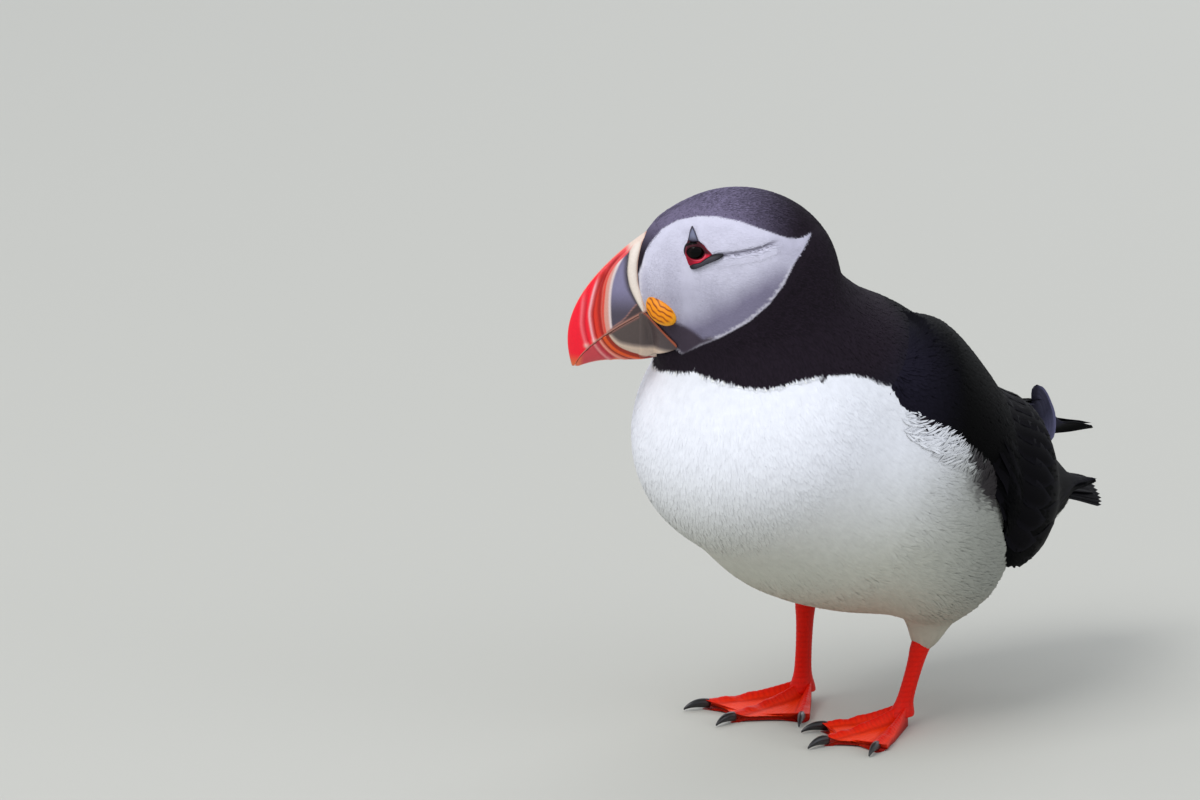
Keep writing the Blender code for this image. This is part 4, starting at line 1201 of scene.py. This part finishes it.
def bill_half(name, edge, grip, look_of, rows=190, steps=84):
    """One half of the bill: arches between the mouth line and the outer edge,
    their half width w (1 - v^grip)^0.5 (1 - 0.35 v), pushed out by the relief."""
    u = np.linspace(0.0, 0.985, rows)
    v = np.sin(0.5 * math.pi * np.linspace(0.0, 1.0, steps))
    mouth, outer_edge = curve(MOUTH, u), curve(edge, u)
    lift = unit(outer_edge - mouth) * 0.12
    flat = (mouth + lift)[:, None] + (outer_edge - mouth - lift)[:, None] * v[None, :, None]
    wide = BILL_HALF_WIDTH * (1.0 - 0.86 * u ** 1.4)
    half = wide[:, None] * (np.maximum(1.0 - v ** grip, 0.0) ** 0.5 * (1.0 - 0.35 * v))[None, :]
    surface = np.stack([flat[..., 0], half, flat[..., 1]], -1)
    out = unit(np.cross(np.gradient(surface, axis=1), np.gradient(surface, axis=0)))
    out = out * np.sign(out[..., 1:2] + 1e-6)
    out[:, -1] = np.concatenate([unit(outer_edge - mouth), np.zeros((rows, 1))], 1)[:, [0, 2, 1]]
    a, b = flat[..., 0], flat[..., 1]
    relief, colour = look_of(a, b, v[None, :])
    relief = relief * smooth(v, 1.0, 0.93)
    fade = smooth(u, 1.0, 0.9)[:, None]
    surface = surface + out * (relief * fade)[..., None]
    mirror = surface[:, -2::-1] * (1.0, -1.0, 1.0)
    rings = on_head(np.concatenate([surface, mirror], axis=1))
    return ringed(name, rings, np.concatenate([colour, colour[:, -2::-1]], axis=1), bill_finish)


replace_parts(bill_half("upper_bill", CULMEN, 3.0, upper_bill), "bill_upper")
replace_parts(bill_half("lower_bill", GONYS, 4.0, lower_bill), "bill_lower")


# ================================================================ rosettes
# The wrinkled yellow skin at the corners of the mouth: a lens of bare flesh whose
# folds follow its length, painted a darker orange in the creases as shade.

ROSETTE_AT = np.array([25.6, 12.6, -8.2])
# bare waxy skin has a soft shine that shows its folds
rosette_finish = finish("soft waxy skin", 0.42, shine=0.25, relief=0.05, scale=0.3)


def make_rosette(word, side):
    """A lens 6.2 by 4.1 by 3 mm from the centre out, tilted with the mouth's
    corner; waves across its width swell it, fading towards its rim."""
    lean, splay = math.radians(38.0), math.radians(32.0)
    along = np.array([-math.cos(lean) * math.cos(splay), math.sin(splay), -math.sin(lean) * math.cos(splay)])
    across = np.array([-math.sin(lean), 0.0, math.cos(lean)])
    out = np.cross(across, along)
    turn = full_turn(72)
    tilt = np.linspace(0.0, math.pi, 42)[1:-1, None]
    x, y = np.sin(tilt) * np.cos(turn), np.sin(tilt) * np.sin(turn)
    wave = 0.05 * np.sin(6.0 * x + 1.5) + 0.03 * np.sin(13.0 * x + 5.0 * y)
    phase = math.pi * (2.7 * (y + 0.20 * (1 - x * x) + wave) + 0.4)
    front = smooth(np.cos(tilt), 0.05, 0.4)
    fold = np.abs(np.sin(phase)) ** 0.7
    swell = 0.55 * fold * front * smooth(np.hypot(x, y), 1.0, 0.8)
    rings = (ROSETTE_AT + out * (3.0 * np.cos(tilt) + 0.25 * swell - 0.1)[..., None]
             + out * (1.5 * swell)[..., None] + along * (6.2 * x)[..., None] + across * (4.1 * y)[..., None])
    # dark orange in the creases between the folds is painted shade
    colour = layered(linear("#86360a"), ("#f59410", smooth(fold, 0.25, 0.85)),
                     ("#f7a61c", smooth(np.hypot(x, y), 0.78, 0.97)))
    piece = ringed(f"rosette_skin_{word}", on_head(rings * (1.0, side, 1.0)), colour, rosette_finish)
    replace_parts(piece, f"rosette_{word}")


# ================================================================ eyes
# A dark brown eyeball deep in its socket, bare red skin round it, a slate-blue
# horn plate above that points upwards and a bar-shaped one below.

def cheek(a, b):
    """Distance out from the head's middle plane to the form at (ahead, up)."""
    start = on_head(np.stack([a, 0 * a + 2.0, b], -1))
    way = np.broadcast_to(HEAD_TURN[:, 1], start.shape)
    return 2.0 + reach(start, way, 0.0)


def spoke(centre, edge, turn):
    """How far a closed outline lies from a point inside it, by direction: where
    the ray meets each of its sides, the farthest kept, rounded off a little."""
    edge = np.array(edge, float) - centre
    found = np.full(turn.shape, 0.0)
    c, s = np.cos(turn), np.sin(turn)
    for (x0, y0), (x1, y1) in zip(edge, np.roll(edge, -1, axis=0)):
        dx, dy = x1 - x0, y1 - y0
        area = c * dy - s * dx
        safe = np.where(np.abs(area) < 1e-9, 1e-9, area)
        r = (x0 * dy - y0 * dx) / safe
        k = (x0 * s - y0 * c) / safe
        found = np.where((r > 0) & (k >= -1e-6) & (k <= 1 + 1e-6), np.maximum(found, r), found)
    blur = np.array([1.0, 2.0, 3.0, 2.0, 1.0]) / 9.0
    wide = np.concatenate([found[-2:], found, found[:2]])
    return np.convolve(wide, blur, "valid")


def pad(name, side, centre, edge, rise, look_of, material):
    """A closed pad on the side of the head inside an outline: its top rises over
    the cheek by a function of place and of the part r of the way to the outline,
    and its underside lies 0.9 mm deep."""
    turn = full_turn(96)
    r = np.linspace(0.0, 1.0, 26)[1:, None]
    far = spoke(np.array(centre), edge, turn)
    a, b = centre[0] + r * far * np.cos(turn), centre[1] + r * far * np.sin(turn)
    s = cheek(a, b)
    top = np.stack([a, s + rise(a, b, r), b], -1)
    low = np.stack([a, s - 0.9, b], -1)
    colour = look_of(a, b, r + 0 * a)
    poles = [on_head(np.array([centre[0], face[0, :, 1].mean(), centre[1]]) * (1.0, side, 1.0))
             for face in (top, low)]
    rings = on_head(np.concatenate([top, low[::-1]]) * (1.0, side, 1.0))
    return ringed(name, rings, np.concatenate([colour, colour[::-1]]), material, poles)


EYE_SKIN_EDGE = [(17.3, 15.6), (18.0, 13.4), (18.4, 11.5), (17.9, 9.8), (17.1, 7.8), (16.2, 7.3),
                 (13.4, 8.4), (10.6, 10.4), (9.4, 11.4), (10.8, 12.4), (12.4, 14.0), (13.8, 14.9),
                 (14.6, 16.0), (16.0, 16.6)]
OPENING = ((15.0, 11.75), (2.7, 1.95))
UPPER_PLATE = [(16.0, 19.6), (16.8, 17.8), (17.4, 15.2), (15.9, 14.9), (14.0, 15.2), (14.5, 16.4),
               (15.2, 18.0)]
LOWER_PLATE_EDGE = [(17.0, 8.0), (16.7, 6.9), (15.8, 6.5), (13.4, 7.6), (10.7, 8.9), (9.0, 9.9),
                    (7.0, 10.9), (4.0, 11.6), (7.2, 11.8), (9.4, 11.6), (11.6, 10.5), (13.4, 9.1),
                    (15.2, 8.4)]
# damp bare skin, duller horn, and a wet eyeball that mirrors the light
lid_finish = finish("bare eyelid skin", 0.4, shine=0.15, relief=0.05, scale=0.25)
horn_finish = finish("slate horn", 0.45, shine=0.25, relief=0.03, scale=0.3)
eye_finish = finish("moist eye", 0.07, shine=0.12)


def opening(a, b):
    """1 on the rim of the lids' oval opening, less inside it."""
    (x, y), (wide, high) = OPENING
    return np.hypot((a - x) / wide, (b - y) / high)


def lid_rise(a, b, r):
    """The lid lies on the eyeball at its opening, thick along its rim, and sinks
    under the ball inside it."""
    x = np.hypot(a - EYE_AT[0], b - EYE_AT[2])
    ball = EYE_AT[1] + np.sqrt(np.maximum(EYE_RADIUS ** 2 - x * x, 0.0)) - cheek(a, b)
    e = opening(a, b)
    outside = 0.42 * smooth(r, 1.0, 0.9) - 0.15
    rim = np.maximum(ball + 0.12, outside) + 0.24 * bell(e - 1.16, 0.12)
    lid = rim + (outside - rim) * smooth(e, 1.25, 1.7)
    dip = ball - 0.45 - 0.5 * smooth(e, 0.9, 0.5)
    return dip + (lid - dip) * smooth(e, 0.96, 1.04)


def lid_paint(a, b, r):
    """Dark red, brighter below and to the rear, black inside the opening."""
    e = opening(a, b)
    low = smooth(b - EYE_AT[2], 0.4, -0.8)
    rear = smooth(a - EYE_AT[0], 1.8, -1.2)
    return layered(
        np.broadcast_to(linear("#3a0d18"), a.shape + (3,)),
        ("#8a0f27", low),
        ("#a3142f", (0.35 + 0.65 * low) * smooth(r, 0.88, 0.95) * smooth(b, 15.0, 13.5)),
        ("#e2223f", low * rear * smooth(e, 1.05, 1.15) * smooth(e, 1.9, 1.5)),
        ("#f07f92", 0.7 * low * rear * bell(e - 1.2, 0.06)),
        ("#14070c", smooth(e, 1.06, 1.0)))


def make_eye(word, side):
    """A ball of rings from front to back with its pupil, lids and two plates."""
    tilt = np.linspace(0.0, math.pi, 40)[1:-1, None]
    turn = full_turn(64)
    x = EYE_RADIUS * np.sin(tilt)
    shape = np.stack([EYE_AT[0] + x * np.cos(turn), EYE_AT[1] + EYE_RADIUS * np.cos(tilt) + 0 * turn,
                      EYE_AT[2] + x * np.sin(turn)], -1)
    ring = np.broadcast_to(x, shape.shape[:2])
    colour = layered(linear("#010101"), ("#100808", smooth(ring, 1.5, 1.7)),
                     ("#060404", smooth(ring, 2.2, 2.5)))
    ends = [on_head((EYE_AT + [0, k * EYE_RADIUS, 0]) * (1.0, side, 1.0)) for k in (1, -1)]
    ball = ringed(f"eyeball_{word}", on_head(shape * (1.0, side, 1.0)), colour, eye_finish, ends)
    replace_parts(ball, f"eye_{word}")
    pad(f"eyelid_{word}", side, (15.0, 11.6), EYE_SKIN_EDGE, lid_rise, lid_paint, lid_finish)

    def plate_rise(a, b, r):
        """A rounded top, 1.1 mm high in the middle."""
        return 0.95 * (1.0 - r ** 3) ** 0.5 + 0.15

    def upper_paint(a, b, r):
        """Slate, paler towards the point above, dark round the edge."""
        shade = mix(linear("#2c2231"), linear("#6d7089"), smooth(b, 14.8, 17.2))
        return mix(shade, linear("#241c2c"), smooth(r, 0.65, 1.0))

    def lower_paint(a, b, r):
        """Dark slate, darker round the edge."""
        return mix(linear("#35333c"), linear("#15131a"), smooth(r, 0.55, 0.95))

    pad(f"upper_plate_{word}", side, (15.8, 16.2), UPPER_PLATE, plate_rise, upper_paint, horn_finish)
    pad(f"lower_plate_{word}", side, (12.6, 8.8), LOWER_PLATE_EDGE, plate_rise, lower_paint, horn_finish)


# where the lower bill's rear widens over the cheek, (ahead, up)
JAW = [(31.2, -9.8), (27.6, -13.0), (24.0, -16.4), (20.6, -19.4), (20.7, -20.4), (23.5, -22.3),
       (26.4, -23.9), (29.4, -25.4), (33, -26.2), (35, -24), (35, -13), (33, -11)]


def make_jaw(word, side):
    """The rear of the lower bill where it widens over the cheek: a thin plate."""
    def rise(a, b, r):
        """Thin on the cheek, as far out as the bill's own side further forward."""
        v = np.clip((-10.5 - b) / 17.0, 0.0, 0.98)
        bill = BILL_HALF_WIDTH * 0.86 * (1.0 - v ** 4) ** 0.5 * (1.0 - 0.35 * v) - cheek(a, b)
        thin = 0.45 * (1.0 - r ** 6) ** 0.5 + 0.1
        return thin + np.maximum(bill - thin, 0.0) * smooth(a, 24.0, 31.5) - 1.6 * smooth(a, 32.0, 34.0)

    def look(a, b, r):
        """The lower bill's colours with a rusty seam behind and a dark edge."""
        edge = inside(a, b, JAW)
        behind = near_line(a, b, [(20.0, -20.0), (31.6, -9.4)])[0]
        return layered(lower_bill(a, b, 0.5)[1], ("#b5532c", 0.85 * smooth(np.abs(behind), 0.9, 0.4)),
                       ("#6b4a40", 0.5 * smooth(edge, 0.4, 0.0)))

    pad(f"jaw_{word}", side, (28.0, -18.0), JAW, rise, look, bill_finish)


for word, side in (("left", 1.0), ("right", -1.0)):
    make_jaw(word, side)
    make_rosette(word, side)
    make_eye(word, side)


# ================================================================ legs and feet
# Bare scaly legs in orange-red: half-ring scutes down the front of the tarsus
# and along each toe, fine creases in the webs, small dark claws.

LEGS = {
    "left": dict(ankle=(18.0, 16.0), knee=(20.5, 22.5, 25.5), hip=(23.0, 29.0, 50.0),
                 toes=((-25, 26.0), (0, 35.5), (27, 33.0))),
    "right": dict(ankle=(-26.0, 16.0), knee=(-24.0, 15.5, 33.0), hip=(-24.0, 24.0, 54.0),
                  toes=((-24, 33.0), (4, 36.0), (38, 26.0))),
}
ANKLE_TOP, FOOT_BACK = 7.2, 4.5
RED = linear("#e01804")
# the deeper red is painted shade, used in the creases between scales, where toes meet the web, on the sole
# and in the dips of the legs
RED_IN_PAINTED_SHADE = linear("#a80c03")
WEB_RED = linear("#fb3c0c")
# leathery scales with a dull shine over fine grain; the claws' horn is glossier
foot_finish = finish("scaly leg skin", 0.5, shine=0.15, grain=0.08, scale=0.9, relief=0.10)
claw_finish = finish("dark claw", 0.35, coat=0.2)


def fan_radius(toes, angle):
    """Front edge of the webbed foot: the toes' ends joined by hollow arcs."""
    angles = [a for a, _ in toes]
    straight = np.interp(angle, angles, [length + FOOT_BACK for _, length in toes])
    sag = np.zeros_like(straight)
    for (a, _), (b, _) in zip(toes, toes[1:]):
        within = (angle > a) & (angle < b)
        sag = np.where(within, np.abs(np.sin(math.pi * (angle - a) / (b - a))) ** 0.7, sag)
    return straight * (1.0 - 0.13 * sag)


def make_foot(word, leg):
    """A fan of rings between sole and top: the web, a ridge over each toe with a
    scute every 1.9 mm and swollen joints, and a claw at each toe's end."""
    toes = leg["toes"]
    edges = [a for a, _ in toes]
    angle = np.linspace(edges[0] - 5.0, edges[2] + 5.0, 116)
    front = fan_radius(toes, np.clip(angle, edges[0], edges[2]))
    beyond = np.maximum(edges[0] - angle, angle - edges[2])
    front = front - 3.0 * smooth(beyond, 1.0, 5.0)
    u = np.linspace(0.0, 1.0, 88)[:, None]
    far = 3.0 + (front - 3.0) * u
    way = np.stack([np.sin(np.radians(angle)), -np.cos(np.radians(angle))], 1)
    centre = np.array([leg["ankle"][0], leg["ankle"][1] + FOOT_BACK])
    floor_at = centre + way * far[..., None]
    toe_top = 7.8 + (3.4 - 7.8) * np.minimum(1.0, 1.5 * u) ** 0.7
    web = 1.7 + 0.12 * np.sin(angle * 1.9 + 0.15 * far) * smooth(far, 8.0, 16.0)
    top, bottom = web + 0 * u, np.full(far.shape, 0.5)
    crease = np.zeros(far.shape)
    on_toe = np.zeros(far.shape)
    for a in edges:
        off = far * np.radians(angle - a)
        near = bell(off, 2.1)
        scute = np.abs(np.sin(math.pi * far / 1.9)) ** 0.5
        height = toe_top - 0.15 * (1.0 - scute) * smooth(np.abs(off), 2.6, 1.2)
        joint = bell(far - 0.55 * front - 1.0, 2.2) + bell(far - 0.8 * front, 1.8)
        height = height + 0.35 * joint
        top = np.maximum(top, 1.7 + (height - 1.7) * near)
        crease = np.maximum(crease, (1.0 - scute) * smooth(np.abs(off), 2.4, 1.4))
        on_toe = np.maximum(on_toe, near)
        bottom = np.where(np.abs(off) < 2.1, 0.0, bottom)
    top = np.minimum(top, ANKLE_TOP + 0.3)

    def face(z):
        """The fan's points at heights z."""
        return np.concatenate([floor_at, z[..., None]], -1)

    rings = np.concatenate([face(top), face(bottom)[:, ::-1]], 1)
    # darker in the creases between scutes and where each toe meets the web, and red in shade underneath: all
    # painted shade
    dark = np.clip(0.4 * crease + 0.5 * bell(on_toe - 0.25, 0.15), 0, 1)
    colour = mix(mix(WEB_RED, RED, on_toe), RED_IN_PAINTED_SHADE, dark)
    paint = np.concatenate([colour, np.broadcast_to(RED_IN_PAINTED_SHADE, colour.shape)], 1)
    foot = ringed(f"webbed_foot_{word}", rings, paint, foot_finish, ends=(RED, WEB_RED))
    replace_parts(foot, f"foot_{word}")
    for number, (a, length) in enumerate(toes, start=1):
        make_claw(word, number, centre, math.radians(a), length + FOOT_BACK)


def make_claw(word, number, centre, angle, start_at):
    """A claw bent down to the floor, from a round root to a blunt point."""
    ahead = np.array([math.sin(angle), -math.cos(angle), 0.0])
    across = np.array([math.cos(angle), math.sin(angle), 0.0])
    u = np.linspace(-0.12, 0.97, 22)[:, None]
    path = curve([(-1.3, 2.0), (4.0, 2.8), (6.8, 0.6)], u[:, 0])
    size = np.maximum(1.0 - 0.82 * np.maximum(u, 0.0) ** 1.6, 0.1) * smooth(u, -0.16, -0.06)
    turn = full_turn(20)
    above = np.array([0, 0, 1.0])
    middle = np.array([*centre, 0.0]) + ahead * (start_at + path[:, :1]) + above * path[:, 1:]
    rings = (middle[:, None] + across * (np.cos(turn) * 1.25 * size)[..., None]
             + above * (np.sin(turn) * 1.6 * size)[..., None])
    rings[..., 2] = np.maximum(rings[..., 2], 0.05)
    shade = layered(linear("#2a1c1c"), ("#141216", smooth(np.repeat(u, len(turn), axis=1), 0.0, 0.3)))
    piece = ringed(f"claw_{word}_{number}_horn", rings, shade, claw_finish)
    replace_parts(piece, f"claw_{word}_{number}")


def make_tarsus(word, leg):
    """Oval rings from inside the foot up into the feathers, swollen at both
    joints, with scutes on the front half and small scales behind."""
    foot = np.array([leg["ankle"][0], leg["ankle"][1], 3.6])
    knee, hip = np.array(leg["knee"]), np.array(leg["hip"])
    u = np.linspace(0.0, 1.0, 150)
    extra = np.linspace(0.02, 0.28, 20)[:, None]
    spine = np.concatenate([foot + (knee - foot) * u[:, None], knee + (hip - knee) * extra])
    length = np.concatenate([[0], np.cumsum(np.linalg.norm(np.diff(spine, axis=0), axis=1))])
    turn = full_turn(56)
    w = np.concatenate([u, 1.0 + extra[:, 0]])
    swell = (1.0 - 0.16 * np.sin(math.pi * np.clip(w, 0, 1))
             + 0.42 * bell(w, 0.14) + 0.08 * bell(w - 1.0, 0.12))
    front = smooth(-np.sin(turn), -0.2, 0.35)
    scute = np.abs(np.sin(math.pi * length / 1.7)) ** 0.45
    scale = np.abs(np.sin(math.pi * length[:, None] / 1.3 + 3 * turn)) * np.abs(np.sin(4.5 * turn))
    dip = 0.08 * (1 - scute)[:, None] * front + 0.09 * (1 - scale ** 0.5) * (1 - front)
    across, behind = np.array([1.0, 0, 0]), np.array([0, 1.0, 0])
    wide, deep = 2.75 * swell[:, None] - dip, 3.5 * swell[:, None] - dip
    rings = (spine[:, None] + across * (np.cos(turn) * wide)[..., None]
             + behind * (np.sin(turn) * deep)[..., None])
    # darker in the dips between scales and scutes: painted shade
    colour = mix(RED, RED_IN_PAINTED_SHADE, 0.1 + 0.4 * np.clip(dip / 0.09, 0, 1))
    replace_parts(ringed(f"leg_{word}", rings, colour, foot_finish), f"tarsus_{word}")


for word, leg in LEGS.items():
    make_foot(word, leg)
    make_tarsus(word, leg)


# ================================================================ stage and light
# A plain pale floor under soft light from a large panel above and to the left,
# a weaker fill from the right, a rim light from behind and a bright even sky.

floor_mesh = bpy.data.meshes.new("floor")
floor_mesh.from_pydata([(-5, -5, 0), (5, -5, 0), (5, 5, 0), (-5, 5, 0)], [], [(0, 1, 2, 3)])
# matt paint throws soft light back up on the belly
floor_mesh.materials.append(finish("pale floor", 0.9, colour="#bdbcb5"))
floor = bpy.data.objects.new("floor", floor_mesh)
bpy.context.scene.collection.objects.link(floor)

# the camera stands six metres off, in front of the bird and to its left, a little
# above it; a long lens shows 384 mm of width there
AZIMUTH, ELEVATION, AWAY, SHOWN_WIDTH, SENSOR = math.radians(45.0), math.radians(14.0), 6.0, 0.384, 36.0
right = np.array([math.cos(AZIMUTH), math.sin(AZIMUTH), 0.0])
look = np.array([-math.sin(AZIMUTH) * math.cos(ELEVATION), math.cos(AZIMUTH) * math.cos(ELEVATION),
                 -math.sin(ELEVATION)])
above = np.cross(right, look)


def aimed(thing, place, direction):
    """Puts a camera or lamp at a place, looking along a direction."""
    thing.location = place
    z = -np.asarray(direction) / np.linalg.norm(direction)
    x = unit(np.cross([0.0, 0.0, 1.0], z))
    thing.matrix_world = np.vstack([np.column_stack([x, np.cross(z, x), z, place]), [0, 0, 0, 1]]).T
    bpy.context.scene.collection.objects.link(thing)
    return thing


def lamp(name, place, size, power, colour):
    """A square soft panel of light aimed at the bird."""
    data = bpy.data.lights.new(name, "AREA")
    data.size, data.energy, data.color = size, power, linear(colour)
    return aimed(bpy.data.objects.new(name, data), place, np.array([0, 0, 0.1]) - np.array(place))


centre = in_row(right * -72.0 + above * 104.0)
lens = bpy.data.cameras.new("camera")
lens.sensor_width, lens.lens, lens.clip_end = SENSOR, SENSOR * AWAY / SHOWN_WIDTH, 50.0
bpy.context.scene.camera = aimed(bpy.data.objects.new("camera", lens), centre - look * AWAY, look)
lamp("key", right * -1.1 - look * 1.2 + np.array([0, 0, 1.9]), 1.6, 36.0, "#ffffff")
lamp("fill", right * 1.9 - look * 0.9 + np.array([0, 0, 0.8]), 1.4, 7.0, "#f4f6ff")
lamp("rim", right * 0.6 + look * 1.6 + np.array([0, 0, 1.6]), 1.2, 9.0, "#f6f8ff")

world = bpy.data.worlds.new("sky")
world.use_nodes = True
world.node_tree.nodes["Background"].inputs["Color"].default_value = (*linear("#e9eef4"), 1.0)
world.node_tree.nodes["Background"].inputs["Strength"].default_value = 0.8
scene = bpy.context.scene
scene.world = world
scene.view_settings.view_transform = "Standard"
scene.view_settings.look = "None"
scene.view_settings.exposure = 0.0

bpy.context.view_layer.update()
